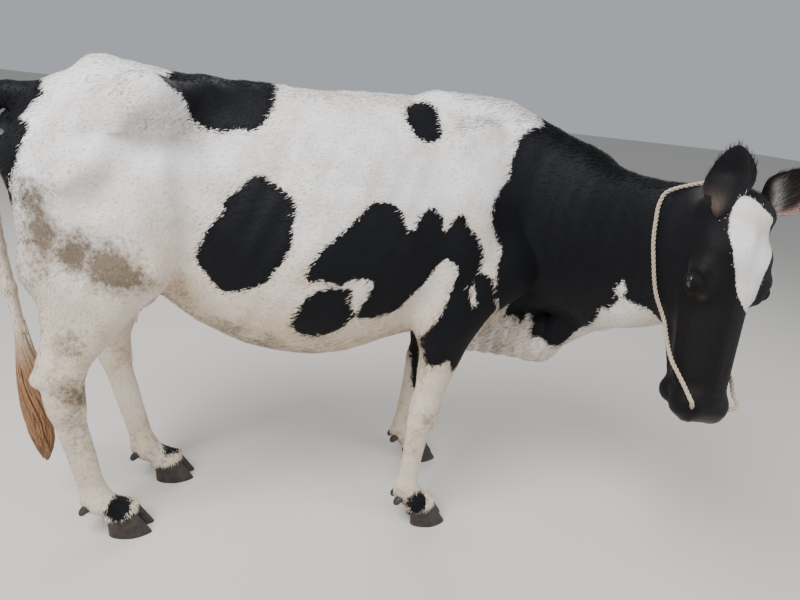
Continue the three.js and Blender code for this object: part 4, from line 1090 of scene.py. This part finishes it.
def makeCoat():
    # a short dry cow's coat: the fine streaks and broken patch edges make it read as flat hair, not paint
    material, tree, shader = newMaterial("short flat cowhair, dry")
    given = {}
    for name in ("black", "face", "thin", "warmLowShade", "stain", "brown", "inEar", "pale", "rosy", "tone", "bare"):
        given[name] = addNode(tree, "ShaderNodeAttribute", out="Fac", attribute_name=name)
    ways = addNode(tree, "ShaderNodeAttribute", out="Vector", attribute_name="lieWeights")
    ways = addNode(tree, "ShaderNodeSeparateXYZ", {0: ways}, None)
    onLeg, onHeadShare = ways.outputs[1], ways.outputs[2]
    streak = streaks(tree, (-0.87, 0, -0.5), 3)
    for share, direction, seed in ((onLeg, (-0.1, 0, -1), 7), (onHeadShare, headAxes[0], 11)):
        other = streaks(tree, direction, seed)
        streak = addNode(tree, "ShaderNodeMix", {0: share, 6: streak, 7: other}, 2, data_type="RGBA")
    place = addNode(tree, "ShaderNodeTexCoord", out="Object")
    size = {"Vector": place, "Scale": 9.0, "Detail": 4.0, "Roughness": 0.6}
    broad = addNode(tree, "ShaderNodeTexNoise", size)
    size = {"Vector": place, "Scale": 75.0, "Detail": 3.0, "Roughness": 0.65}
    medium = addNode(tree, "ShaderNodeTexNoise", size)

    # the edge of a marking is shifted by both noises about their means of a half, less on the face
    mottle, jag = coatLook["mottleMm"], coatLook["jagMm"]
    own = {0: medium, 1: 2 * mottle, 2: -mottle - jag}
    edge = addNode(tree, "ShaderNodeMath", own, operation="MULTIPLY_ADD")
    edge = addNode(tree, "ShaderNodeMath", {0: streak, 1: 2 * jag, 2: edge}, operation="MULTIPLY_ADD")
    calm = addNode(tree, "ShaderNodeMath", {0: given["face"], 1: -0.75, 2: 1.0}, operation="MULTIPLY_ADD")
    edge = addNode(tree, "ShaderNodeMath", {0: edge, 1: calm, 2: given["black"]}, operation="MULTIPLY_ADD")
    isDark = addNode(tree, "ShaderNodeMapRange", {"Value": edge, "From Min": -1.2, "From Max": 1.2})

    # white hair: shaded by the broad noise, pink where thin, given a painted warm shade towards the bottom of
    # the body, then stained unevenly
    dirt = addNode(tree, "ShaderNodeMath", {0: broad, 1: 1.4, 2: given["stain"]}, operation="MULTIPLY_ADD")
    dirt = addNode(tree, "ShaderNodeMath", {0: dirt, 1: medium}, operation="ADD")
    own = {"Value": dirt, "From Min": 1.56, "From Max": 2.12, "To Max": 0.9}
    dirt = addNode(tree, "ShaderNodeMapRange", own)
    own = {"Value": broad, "From Min": 0.35, "From Max": 0.7}
    shares = {"whiteShade": addNode(tree, "ShaderNodeMapRange", own)}
    for name in ("thin", "warmLowShade"):
        shares[name] = addNode(tree, "ShaderNodeMath", {0: given[name], 1: 0.6}, operation="MULTIPLY")
    shares["stain"] = dirt
    white = linear(coatLook["white"])
    for name, share in shares.items():
        own = {0: share, 6: white, 7: linear(coatLook[name])}
        white = addNode(tree, "ShaderNodeMix", own, 2, data_type="RGBA")

    # black hair: browner on the head and where it is worn, paler in the ear and round the eye
    shares = {"blackBrown": addNode(tree, "ShaderNodeMath", {0: onHeadShare, 1: 0.55}, operation="MULTIPLY")}
    shares.update({name: given[name] for name in ("brown", "inEar", "pale", "rosy")})
    dark = linear(coatLook["black"])
    for name, share in shares.items():
        own = {0: share, 6: dark, 7: linear(coatLook[name])}
        dark = addNode(tree, "ShaderNodeMix", own, 2, data_type="RGBA")

    # both are toned by the streaks and by each tuft's own number, and bare skin covers them
    colour = addNode(tree, "ShaderNodeMix", {0: isDark, 6: white, 7: dark}, 2, data_type="RGBA")
    own = {"Value": streak, "From Min": 0.25, "From Max": 0.75, "To Min": 0.82, "To Max": 1.1}
    tone = addNode(tree, "ShaderNodeMapRange", own)
    tone = addNode(tree, "ShaderNodeMath", {0: tone, 1: given["tone"]}, operation="MULTIPLY")
    own = {0: 1.0, 6: colour, 7: tone}
    colour = addNode(tree, "ShaderNodeMix", own, 2, data_type="RGBA", blend_type="MULTIPLY")
    own = {0: given["bare"], 6: colour, 7: linear(coatLook["bare"])}
    colour = addNode(tree, "ShaderNodeMix", own, 2, data_type="RGBA")
    rough = addNode(tree, "ShaderNodeMapRange", {"Value": given["bare"], "To Min": 0.62, "To Max": 0.38})
    pebble = addNode(tree, "ShaderNodeTexVoronoi", {"Vector": place, "Scale": 420.0})
    hair = addNode(tree, "ShaderNodeMath", {0: medium, 1: 1.3, 2: streak}, operation="MULTIPLY_ADD")
    height = addNode(tree, "ShaderNodeMix", {0: given["bare"], 2: hair, 3: pebble})
    own = {"Height": height, "Strength": 0.55, "Distance": coatLook["bumpMm"] / 1000}
    normal = addNode(tree, "ShaderNodeBump", own)
    setInputs(tree, shader, {"Base Color": colour, "Roughness": rough, "Normal": normal,
                             "Specular IOR Level": 0.14, "Sheen Weight": 0.03, "Sheen Roughness": 0.5})
    return material


def plainMaterial(name, look):
    # two colours of one material mixed by noise, which also roughens the surface as bump
    material, tree, shader = newMaterial(name)
    place = addNode(tree, "ShaderNodeTexCoord", out="Object")
    size = {"Vector": place, "Scale": look["perMetre"], "Detail": 4.0, "Roughness": 0.6}
    noise = addNode(tree, "ShaderNodeTexNoise", size)
    share = addNode(tree, "ShaderNodeMapRange", {"Value": noise, "From Min": 0.35, "From Max": 0.65})
    own = {0: share, 6: linear(look["colour"]), 7: linear(look["worn"])}
    colour = addNode(tree, "ShaderNodeMix", own, 2, data_type="RGBA")
    normal = addNode(tree, "ShaderNodeBump", {"Height": noise, "Strength": look["bump"], "Distance": 0.001})
    setInputs(tree, shader, {"Base Color": colour, "Roughness": look["roughness"], "Normal": normal})
    return material


coat = makeCoat()
skinPoints = vertsOf(skin)
skinNormals = normalsOf(skin)
skinWeights = groupWeights(skinPoints)
skinOnEar = earPlace(skinPoints)[:, 3]
skinNumbers = coatNumbers(skinPoints, skinNormals, skinWeights, skinOnEar)
for key, values in skinNumbers.items():
    giveNumbers(skin.data, key, values)
skin.data.materials.clear()   # the joining left an empty slot
skin.data.materials.append(coat)
fleshParts = ("trunk", "udder", "neck", "head", "ear", "leg")
fleshNodes = [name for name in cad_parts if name.split("_")[0] in fleshParts]
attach(skin, "root")
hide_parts(*fleshNodes, "tail")
print("markings:", len(patches), "patches")


# coat: thin three-sided tufts that lie along the body over the skin
tuftLook = {"count": 76000, "pieces": 4, "patch": 0.003, "seed": 23, "sink": 0.9, "flat": 0.26}


def tuftSizes(p, normal, weights, numbers):
    # for each point: tufts for the same area, length and width in mm, and degrees they stand off the skin
    x, y, z = p.T
    up = normal[:, 2]
    trunk, leg, head, neck, tail, udder = (weights[k] for k in ("trunk", "leg", "head", "neck", "tail", "udder"))
    density = 0.75 * trunk + 0.8 * neck + 0.85 * leg + 1.3 * head + 0.9 * tail + 0.05 * udder
    length = 12 * trunk + 12 * neck + 8 * leg + 5.5 * head + 15 * tail + 6 * udder
    width = 2.0 * trunk + 2.0 * neck + 1.6 * leg + 1.2 * head + 2.2 * tail + 1.4 * udder
    lift = 4.0 + 2 * leg + 0 * x

    face = ramp(-130, -100, headCoordinates(p)[:, 1])
    head = np.maximum(head, face)
    length, width = length * (1 - face) + 5.5 * face, width * (1 - face) + 1.2 * face

    def more(where, add, long, stand):
        # where this is 1, adds tufts and brings their length and lift up to at least these
        nonlocal density, length, lift
        density = density + add * where
        length = length + np.maximum(long - length, 0) * where
        lift = lift + np.maximum(stand - lift, 0) * where

    more((trunk + neck) * ramp(0.75, 0.97, up) * ramp(1120, 1180, z), 1.0, 16, 12)
    crest = (trunk + neck) * ramp(0.5, 0.9, up) * ramp(330, 380, x)
    more(crest * (1 - head) * ramp(900, 1000, z), 0.8, 22, 17)
    more(bump(np.abs(numbers["black"]), 0, 12) * (1 - head), 1.2, 15, 8)
    more(trunk * ramp(-0.3, -0.8, up) * (1 - udder), 0.5, 15, 16)
    more(leg * ramp(0.4, 0.9, -normal[:, 0]) * ramp(470, 560, z), 0.6, 17, 16)
    more((neck + trunk) * ramp(440, 500, x) * (1 - ramp(640, 780, z)), 0.7, 17, 16)
    along, off, _ = headCoordinates(p).T
    poll = (1 - ramp(8, 30, along)) * ramp(-80, -40, off)
    more(np.maximum(head, ramp(-130, -100, off)) * poll, 0.8, 16, 20)
    more(head * ramp(-150, -185, off), 0.5, 12, 14)
    for limb in allLegs.values():
        cx, cy, _ = limb["coronet"]
        line = flesh["coronetHeight"] + flesh["coronetSlope"] * (x - cx)
        foot = (np.abs(x - cx) < 130) & (np.abs(y - cy) < 90)
        more(foot * bump(z, line + 6, 14), 2.2, 14, 22)
        more(foot * bump(z, limb["fetlock"][2] - 10, 22) * (normal[:, 0] < -0.3), 1.0, 16, 22)
    place = earPlace(p)
    onEar = place[:, 3]
    edge = ramp(0.72, 0.92, np.abs(place[:, 1]))
    density = density * (1 - onEar) + onEar * (2.2 + 2.5 * edge)
    length = length * (1 - onEar) + onEar * (8 + 9 * edge + 14 * numbers["inEar"] * (1 - edge))
    lift = lift * (1 - onEar) + onEar * (9 + 8 * edge + 10 * numbers["inEar"])
    width = width * (1 - 0.35 * onEar)
    near = fromEyes(p)
    density *= (1 - ramp(0.1, 0.4, numbers["bare"])) * ramp(22, 30, near)
    length *= 1 - 0.45 * (1 - ramp(30, 60, near))
    return density, length, width, lift


def unwrapped(piece):
    # a copy of the skin cut and laid out flat by angle; gives the flat place of each corner of its triangles
    copy = bpy.data.objects.new("flat", piece.data.copy())
    bpy.context.collection.objects.link(copy)
    bpy.ops.object.select_all(action="DESELECT")
    copy.select_set(True)
    bpy.context.view_layer.objects.active = copy
    bpy.ops.object.mode_set(mode="EDIT")
    bpy.ops.mesh.select_all(action="SELECT")
    bpy.ops.uv.smart_project(angle_limit=math.radians(66), island_margin=0.001)
    bpy.ops.object.mode_set(mode="OBJECT")
    copy.data.calc_loop_triangles()
    corners = np.empty(len(copy.data.loop_triangles) * 3, np.int32)
    copy.data.loop_triangles.foreach_get("loops", corners)
    flat = np.empty(len(copy.data.loops) * 2, np.float32)
    copy.data.uv_layers.active.data.foreach_get("uv", flat)
    bpy.data.objects.remove(copy)
    return flat.reshape(-1, 2)[corners].reshape(-1, 3, 2)


def scattered(verts, tris, density, count, rng):
    # the running sum of area times density is cut into equal shares, and one root drawn at random in each
    a, b, c = (verts[tris[:, k]] for k in range(3))
    area = np.linalg.norm(np.cross(b - a, c - a), axis=1) * density[tris].mean(axis=1)
    running = np.cumsum(area)
    drawn = (np.arange(count) + rng.uniform(0, 1, count)) / count * running[-1]
    chosen = np.minimum(np.searchsorted(running, drawn), len(tris) - 1)
    u, v = rng.uniform(0, 1, (2, count))
    over = u + v > 1
    u, v = np.where(over, 1 - u, u), np.where(over, 1 - v, v)
    return chosen, np.stack([1 - u - v, u, v], axis=1)


def tuftRings(root, lie, normal, length, width, lift, side):
    # a root ring under the skin, a ring halfway along, and a tip that comes down again
    rise = np.tan(np.radians(lift))[:, None]
    across = np.cross(normal, lie)
    length, width = length[:, None], width[:, None]
    start = root - normal * tuftLook["sink"] - lie * 0.12 * length
    sway = side[:, None] * length * across
    middle = root + 0.45 * length * lie + 0.4 * length * rise * normal + 0.06 * sway
    tip = root + length * lie + 0.35 * length * rise * normal + 0.2 * sway
    rings = []
    for centre, size in ((start, 0.42), (middle, 0.5)):
        for turn in (90, 210, 330):
            out, above = math.cos(math.radians(turn)), math.sin(math.radians(turn))
            rings.append(centre + size * width * (out * across + tuftLook["flat"] * above * normal))
    return np.stack(rings + [tip], axis=1)


def makeTufts(material):
    # a tuft at each root scattered over the skin, in a few pieces from tail to head
    rng = np.random.default_rng(tuftLook["seed"])
    tris, count = trisOf(skin), tuftLook["count"]
    density, length, width, lift = tuftSizes(skinPoints, skinNormals, skinWeights, skinNumbers)
    chosen, share = scattered(skinPoints, tris, density, count, rng)

    def atRoots(values):
        # the three corners' values by their shares
        picked = values[tris[chosen]]
        return np.einsum("nk,nk...->n...", share, picked)

    root, normal = atRoots(skinPoints), unit(atRoots(skinNormals))
    flat = np.einsum("nk,nkd->nd", share, unwrapped(skin)[chosen])
    lie = unit(atRoots(skinLie))
    lie = unit(lie + rng.normal(0, 0.16, (count, 1)) * np.cross(normal, lie))
    length = atRoots(length) * rng.uniform(0.7, 1.25, count)
    width = atRoots(width) * rng.uniform(0.75, 1.25, count)
    lift = atRoots(lift) * rng.uniform(0.4, 1.5, count)
    points = tuftRings(root, lie, normal, length, width, lift, rng.uniform(-1, 1, count))
    numbers = {key: atRoots(values) for key, values in skinNumbers.items()}
    ragged = numbers["black"] + rng.normal(0, 3.5, count)
    numbers["black"] = np.where(ragged > 0, 40.0, -40.0)
    numbers["tone"] = rng.uniform(0.88, 1.1, count)
    corners = np.array([[0, 1, 4, 3], [1, 2, 5, 4], [2, 0, 3, 5]])
    ends = np.array([[3, 4, 6], [4, 5, 6], [5, 3, 6], [2, 1, 0]])
    spread = tuftLook["patch"] * np.array([[-0.35, -0.3], [0.35, -0.3], [0, -0.3], [-0.25, 0.1], [0.25, 0.1],
                                           [0, 0.1], [0, 0.35]])
    for number, part in enumerate(np.array_split(np.argsort(root[:, 0]), tuftLook["pieces"])):
        first = 7 * np.arange(len(part))[:, None, None]
        verts = points[part].reshape(-1, 3)
        faces = outwards(verts, [(first + corners).reshape(-1, 4), (first + ends).reshape(-1, 3)])
        own = {key: np.repeat(values[part], 7, axis=0) for key, values in numbers.items()}
        uv = (flat[part][:, None, :] + spread).reshape(-1, 2)
        piece = makePiece("tufts_" + "abcdefgh"[number], verts, faces, material, own, uv)
        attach(piece, "root")
        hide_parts("trunk")
    print("coat:", count, "tufts in", tuftLook["pieces"], "pieces")


skinLie = lieOf(skinPoints, skinNormals, skinWeights, skinOnEar)
makeTufts(coat)


# eyeballs
def makeEye(name, eye):
    # a sphere whose front bulges as a cornea: radius - 0.6 + exp(-(angle / 0.55)^2)
    rows, around = 40, 56
    polar = np.linspace(0, np.pi, rows + 2)[1:-1, None]
    turn = np.linspace(0, 2 * np.pi, around, endpoint=False)[None, :]
    radius = eyeLook["radius"] - 0.6 + bump(polar, 0, 0.55)
    u, v = radius * np.sin(polar) * np.cos(turn), radius * np.sin(polar) * np.sin(turn)
    w = radius * np.cos(polar) + 0 * turn
    rings = eye["centre"] + u[..., None] * eye["toNose"] + v[..., None] * eye["up"] + w[..., None] * eye["axis"]
    verts, faces = loft(rings)
    gaze = np.stack(eyeSpan(eye, verts), axis=1)
    ball = makePiece("eyeball_" + name, verts, outwards(verts, faces), eyeMaterial, {"gaze": gaze})
    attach(ball, "root")
    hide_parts("eye_" + name)


def makeEyeMaterial():
    # a wet dark brown eye with a level oblong pupil; the clear coat gives the light's glint
    material, tree, shader = newMaterial("dark brown eye, wet")
    gaze = addNode(tree, "ShaderNodeAttribute", out="Vector", attribute_name="gaze")
    oval = {0: gaze, 1: (1 / eyeLook["pupilWide"], 1 / eyeLook["pupilTall"], 0)}
    pupil = addNode(tree, "ShaderNodeVectorMath", oval, operation="MULTIPLY")
    pupil = addNode(tree, "ShaderNodeVectorMath", {0: pupil, 1: pupil}, "Value", operation="DOT_PRODUCT")
    rim = addNode(tree, "ShaderNodeVectorMath", {0: gaze, 1: (1, 1, 0)}, operation="MULTIPLY")
    rim = addNode(tree, "ShaderNodeVectorMath", {0: rim}, "Value", operation="LENGTH")
    colour, iris = linear(eyeLook["pupilColour"]), eyeLook["iris"]
    for share, low, high, outer in ((pupil, 0.9, 1.1, "irisColour"), (rim, iris, iris + 1, "rimColour")):
        share = addNode(tree, "ShaderNodeMapRange", {"Value": share, "From Min": low, "From Max": high})
        own = {0: share, 6: colour, 7: linear(eyeLook[outer])}
        colour = addNode(tree, "ShaderNodeMix", own, 2, data_type="RGBA")
    setInputs(tree, shader, {"Base Color": colour, "Roughness": 0.2,
                             "Coat Weight": 0.7, "Coat Roughness": 0.03})
    return material


eyeMaterial = makeEyeMaterial()
for name, eye in eyes.items():
    makeEye(name, eye)
print("eyes: 2")


# claws and dewclaws
clawLook = {"length": 118.0, "width": 49.0, "rows": 16, "around": 48, "ridges": 0.5, "ridgeEvery": 6.5,
            "dewRadius": 13.5, "colour": "1d191a", "worn": "3a302a", "roughness": 0.55, "perMetre": 60,
            "bump": 0.25}


def clawSurface(leg, away):
    # level rings of a pointed oval from the sole to the sloping coronet, with the toe wall leaning back as it
    # rises; faint growth rings follow the coronet
    cx, cy, _ = leg["coronet"]
    s = np.linspace(0, 1, clawLook["rows"])[:, None]
    angle = np.linspace(0, 2 * np.pi, clawLook["around"], endpoint=False)[None, :]
    forward = np.cos(angle)
    x, y = cx + 16, cy + away * (clawLook["width"] / 2 + 1.5)
    reach = clawLook["length"] / 2 * forward
    top = flesh["coronetHeight"] + flesh["coronetSlope"] * (x + reach - 22 - cx) - 1.5
    z = s * top
    rise = z / flesh["coronetHeight"]
    tuck = 0.96 + 0.04 * ramp(0, 0.07, s)
    ridge = clawLook["ridges"] * np.sin(2 * np.pi * (top - z) / clawLook["ridgeEvery"]) * ramp(0.08, 0.2, s)
    long = (clawLook["length"] / 2 - 19 * rise) * tuck - 0.6 + ridge
    wide = (clawLook["width"] / 2 - 2 * rise) * tuck - 0.6 + ridge
    narrow = 1 - 0.35 * np.maximum(forward, 0) ** 2
    flat = np.where(np.sin(angle) * away < 0, 0.92, 1)
    return np.stack([x - 22 * rise + long * forward,
                     y + wide * np.sin(angle) * narrow * flat - away * 4 * np.maximum(forward, 0),
                     z], axis=-1)


def spindle(points, radii, around):
    # rings square to a path, a radius across and 0.85 of it off the path
    points, radii = np.asarray(points, float), np.asarray(radii, float)
    tangent = unit(np.gradient(points, axis=0))
    first = unit(yAxis - tangent * (tangent @ yAxis)[:, None])
    second = np.cross(tangent, first)
    angle = np.linspace(0, 2 * np.pi, around, endpoint=False)
    ring = (np.cos(angle)[None, :, None] * first[:, None, :]
            + 0.85 * np.sin(angle)[None, :, None] * second[:, None, :])
    return points[:, None, :] + radii[:, None, None] * ring


# dark horn rubbed brown in places and dulled by dry ground, so that it gives the eye no clear glint
hornMaterial = plainMaterial("dark claw horn, worn dull", clawLook)
for legName, leg in allLegs.items():
    for which, away in (("outer", leg["side"]), ("inner", -leg["side"])):
        verts, faces = loft(clawSurface(leg, away))
        horn = makePiece("claw_" + legName + "_" + which, verts, outwards(verts, faces), hornMaterial)
        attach(horn, "root")
        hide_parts("hoof_" + legName + "_" + which)
        root = np.array(moved(leg["fetlock"], -20, away * 20, -12), float)
        tip = np.array(moved(leg["fetlock"], -41, away * 23, -35), float)
        s = np.linspace(0, 1, 14)
        bent = root + (tip - root) * s[:, None] + np.sin(np.pi * s)[:, None] * np.array([-2.0, 0, 1.5])
        radius = clawLook["dewRadius"] * np.sqrt(np.clip(1 - s ** 4, 0.02, 1))
        verts, faces = loft(spindle(bent, radius, 20))
        dew = makePiece("dew_" + legName + "_" + which, verts, outwards(verts, faces), hornMaterial)
        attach(dew, "root")
        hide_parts("dewclaw_" + legName + "_" + which)
print("claws: 8, dewclaws: 8")


# nose rope: three strands laid round one closed route
ropeLook = {"radius": 5.0, "rings": 620, "turns": 46, "around": 8, "clear": 3, "colour": "c4b6a0",
            "worn": "9d8f7b", "roughness": 0.9, "perMetre": 900, "bump": 0.6}
# the right half in head coordinates, from the nostril past the cheek and up behind the ear
ropeHalf = [[446, -62, -12], [442, -52, -27], [420, -38, -44], [396, -48, -53], [372, -62, -60],
            [346, -82, -66], [311, -108, -62], [273, -132, -66], [233, -142, -78], [203, -146, -88],
            [152, -144, -103], [112, -146, -110], [70, -150, -110], [35, -152, -104], [8, -146, -92],
            [-14, -128, -70], [-26, -112, -36]]


def outTo(origin, direction, reach):
    # first distance along each spoke at which the frame's own head and neck end
    t = np.arange(0, reach, 2.0)
    p = origin[:, None, :] + direction[:, None, :] * t[None, :, None]
    flat = p.reshape(-1, 3)
    f = np.full(len(flat), 900.0)
    for bar in bars:
        if bar["group"] in ("head", "neck"):
            f = melt(f, barField(bar, *flat.T), bar["blend"])
    outside = f.reshape(p.shape[:2]) > 0
    return t[np.argmax(outside, axis=1)]


def ropeRoute():
    # the right half and its mirror, lifted off the head by the rope's radius, as evenly spaced points
    half = np.array(ropeHalf, float)
    whole = np.concatenate([half, half[::-1] * [1, 1, -1]])
    points = np.array([onHead(*p) for p in whole])
    axis = np.array([onHead(p[0], -80, 0) for p in whole])
    direction = unit(points - axis)
    reach = outTo(axis, direction, 260) + ropeLook["radius"] + ropeLook["clear"]
    lifted = axis + direction * reach[:, None]
    lifted[[0, 1, -2, -1]] = points[[0, 1, -2, -1]]
    fine = smoothLoop(lifted, 40)
    length = np.concatenate([[0], np.cumsum(np.linalg.norm(np.roll(fine, -1, axis=0) - fine, axis=1))])
    fine = np.concatenate([fine, fine[:1]])
    s = np.linspace(0, length[-1], ropeLook["rings"], endpoint=False)
    return np.stack([np.interp(s, length, fine[:, k]) for k in range(3)], axis=1)


def makeRope(material):
    # three round strands, each wound about the route as a helix
    route = ropeRoute()
    tangent = unit(np.roll(route, -1, axis=0) - np.roll(route, 1, axis=0))
    first = unit(np.cross(tangent, unit(route - onHead(200, -80, 0))))
    second = np.cross(tangent, first)
    verts, faces = [], []
    phase = 2 * np.pi * ropeLook["turns"] * np.arange(len(route)) / len(route)
    for strand in range(3):
        turn = (phase + 2 * np.pi * strand / 3)[:, None]
        out = np.cos(turn) * first + np.sin(turn) * second
        other = np.cross(tangent, out)
        centre = route + out * ropeLook["radius"] * 0.5
        angle = np.linspace(0, 2 * np.pi, ropeLook["around"], endpoint=False)[None, :, None]
        ring = np.cos(angle) * out[:, None, :] + np.sin(angle) * other[:, None, :]
        rings = centre[:, None, :] + ropeLook["radius"] * 0.52 * ring
        index = np.arange(rings.shape[0] * rings.shape[1]).reshape(rings.shape[:2])
        index = index + sum(len(v) for v in verts)
        nextRing, nextRound = np.roll(index, -1, axis=0), np.roll(index, -1, axis=1)
        both = np.roll(nextRing, -1, axis=1)
        verts.append(rings.reshape(-1, 3))
        faces.append(np.stack([index, nextRound, both, nextRing], axis=-1).reshape(-1, 4))
    verts = np.concatenate(verts)
    rope = makePiece("noserope_strands", verts, outwards(verts, faces), material)
    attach(rope, "root")
    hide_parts("nose_rope")


# fibres finer than the strands: they scatter the light, so that the rope looks matt and soft
makeRope(plainMaterial("pale cotton rope, dry and dusty", ropeLook))
print("rope: 3 strands")


# tail switch: long locks over a core
switchLook = {"locks": 330, "rows": 9, "around": 5, "length": 410.0, "seed": 41, "grey": "b3a690",
              "stained": "68472f", "faded": "a37a55", "hairs": (600, 600, 12)}


def switchAxis(s):
    # the brush hangs from the tail's end, a little forward as it falls
    top = np.array([-770, 0, 572.0])
    return top + s[..., None] * np.array([38, -12, -switchLook["length"]])


def switchReach(s):
    # half width of the brush down its length
    return np.interp(s, [0, 0.12, 0.35, 0.6, 0.8, 0.93, 1], [15, 21, 33, 38, 32, 19, 6])


def makeSwitch(material):
    # each lock is a flat tapered tube that waves about its own line round the brush's axis
    rng = np.random.default_rng(switchLook["seed"])
    rows, around, locks = switchLook["rows"], switchLook["around"], switchLook["locks"]
    s = np.linspace(0, 1, 24)
    coreVerts, coreFaces = loft(spindle(switchAxis(s), switchReach(s) * 0.72, 20))
    start = rng.uniform(-0.06, 0.42, locks)
    end = np.clip(start + rng.uniform(0.45, 0.75, locks), 0, 1) - 0.01
    angle = rng.uniform(0, 2 * np.pi, locks)
    layer = np.sqrt(rng.uniform(0.35, 1, locks))
    t = np.linspace(0, 1, rows)[None, :]
    s = start[:, None] + (end - start)[:, None] * t
    depth, waves, shift = (rng.uniform(a, b, (locks, 1)) for a, b in ((2, 6), (0.8, 1.8), (0, 1)))
    wave = depth * np.sin(2 * np.pi * (t * waves + shift))
    swing = angle[:, None] + 0.5 * np.sin(3 * t + angle[:, None])
    reach = switchReach(np.clip(s, 0, 1)) * layer[:, None]
    centre = switchAxis(s)
    centre[..., 0] += reach * np.cos(swing) + wave * np.sin(swing) * t
    centre[..., 1] += 0.85 * reach * np.sin(swing) - wave * np.cos(swing) * t
    width = rng.uniform(4.0, 7.0, (locks, 1)) * np.sin(np.pi * (0.16 + 0.84 * t)) ** 0.7 + 0.3
    tangent = unit(np.gradient(centre, axis=1))
    first = unit(np.cross(tangent, np.stack([np.cos(swing), np.sin(swing), 0 * swing], axis=-1)))
    second = np.cross(tangent, first)
    turn = np.linspace(0, 2 * np.pi, around, endpoint=False)
    ring = np.cos(turn)[:, None] * first[:, :, None, :] + 0.45 * np.sin(turn)[:, None] * second[:, :, None, :]
    rings = centre[:, :, None, :] + width[:, :, None, None] * ring
    verts = rings.reshape(-1, 3)
    index = np.arange(locks * rows * around).reshape(locks, rows, around)
    nextRound = np.roll(index, -1, axis=2)
    quads = np.stack([index[:, :-1], nextRound[:, :-1], nextRound[:, 1:], index[:, 1:]], axis=-1)
    quads = quads.reshape(-1, 4)
    caps = [index[:, 0, ::-1], index[:, -1, :]]
    allVerts = np.concatenate([verts, coreVerts])
    faces = [quads] + caps + [block + len(verts) for block in coreFaces]
    down = np.concatenate([np.broadcast_to(s[:, :, None], s.shape + (around,)).ravel(),
                           np.linspace(0, 1, len(coreVerts))])
    at = np.stack([0.04 + 0.92 * angle / (2 * np.pi), 0.05 + 1.7 * (start + 0.06)], axis=1)[:, None, None, :]
    spread = 0.003 * np.stack(np.broadcast_arrays(0.4 * np.cos(turn)[None, :], t.T - 0.5), axis=-1)
    step = np.arange(len(coreVerts))
    core = np.stack([step % 20 / 20, 0.94 + 0.05 * step / len(coreVerts)], axis=1)
    uv = np.concatenate([(at + spread[None]).reshape(-1, 2), core])
    switch = makePiece("switch_locks", allVerts, faces, material, {"down": down}, uv)
    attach(switch, "root")
    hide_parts("tail_switch")


def makeSwitchMaterial():
    # long coarse hair stained orange-brown, greyer at the top; the fine stretched noise parts it into hairs
    material, tree, shader = newMaterial("long tail hair, stained and dry")
    place = addNode(tree, "ShaderNodeTexCoord", out="Object")
    place = addNode(tree, "ShaderNodeMapping", {"Vector": place, "Scale": switchLook["hairs"]})
    noise = addNode(tree, "ShaderNodeTexNoise", {"Vector": place, "Scale": 1.0, "Detail": 3.0})
    share = addNode(tree, "ShaderNodeMapRange", {"Value": noise, "From Min": 0.3, "From Max": 0.7})
    own = {0: share, 6: linear(switchLook["stained"]), 7: linear(switchLook["faded"])}
    colour = addNode(tree, "ShaderNodeMix", own, 2, data_type="RGBA")
    down = addNode(tree, "ShaderNodeAttribute", out="Fac", attribute_name="down")
    down = addNode(tree, "ShaderNodeMapRange", {"Value": down, "From Min": -0.05, "From Max": 0.3})
    own = {0: down, 6: linear(switchLook["grey"]), 7: colour}
    colour = addNode(tree, "ShaderNodeMix", own, 2, data_type="RGBA")
    normal = addNode(tree, "ShaderNodeBump", {"Height": noise, "Strength": 0.6, "Distance": 0.001})
    setInputs(tree, shader, {"Base Color": colour, "Roughness": 0.6, "Normal": normal})
    return material


makeSwitch(makeSwitchMaterial())
print("switch:", switchLook["locks"], "locks")


# floor, light and camera
# each lamp: watts, place, aim and size in metres; the camera: place in mm, and its axes right, up and back
sceneLook = {"floor": "c9c5bf", "sky": "d5dae0", "skyStrength": 0.62,
             "lamps": {"key": (320.0, (-2.2, -1.7, 4.0), (0, 0, 0.8), 2.4),
                       "fill": (80.0, (3.0, -2.4, 2.2), (0.3, 0, 0.8), 2.5),
                       "back": (80.0, (0.5, 3.6, 3.2), (0, 0, 0.9), 2.5)},
             "camera": [-192.0, -1674.0, 1300.0], "lens": 27.0,
             "axes": [(0.9672, -0.2256, 0.1166), (-0.0310, 0.3507, 0.9360), (-0.2521, -0.9089, 0.3322)]}


def makeStage():
    # a matt floor that gives the feet a soft shadow, a pale sky and three broad lamps
    bpy.ops.mesh.primitive_plane_add(size=60, location=(0, 0, 0))
    floor = bpy.context.object
    floor.name = "floor"
    material, _, shader = newMaterial("pale matt floor")
    shader.inputs["Base Color"].default_value = linear(sceneLook["floor"])
    shader.inputs["Roughness"].default_value = 0.95
    floor.data.materials.append(material)
    world = bpy.data.worlds.new("soft sky")
    bpy.context.scene.world = world
    world.use_nodes = True
    sky = world.node_tree.nodes["Background"]
    sky.inputs["Color"].default_value = linear(sceneLook["sky"])
    sky.inputs["Strength"].default_value = sceneLook["skyStrength"]
    for name, (watts, place, aim, size) in sceneLook["lamps"].items():
        lamp = bpy.data.lights.new(name, "AREA")
        lamp.energy, lamp.size = watts, size
        holder = bpy.data.objects.new(name, lamp)
        bpy.context.collection.objects.link(holder)
        holder.location = place
        holder.rotation_euler = (Vector(aim) - Vector(place)).to_track_quat("-Z", "Y").to_euler()


def makeCamera():
    # a wide lens a little above the back, looking down at the near side
    lens = bpy.data.cameras.new("camera")
    lens.lens, lens.sensor_width = sceneLook["lens"], 36.0
    camera = bpy.data.objects.new("camera", lens)
    bpy.context.collection.objects.link(camera)
    camera.location = toRow(sceneLook["camera"])
    camera.rotation_euler = Matrix(sceneLook["axes"]).transposed().to_euler()
    bpy.context.scene.camera = camera


makeStage()
makeCamera()
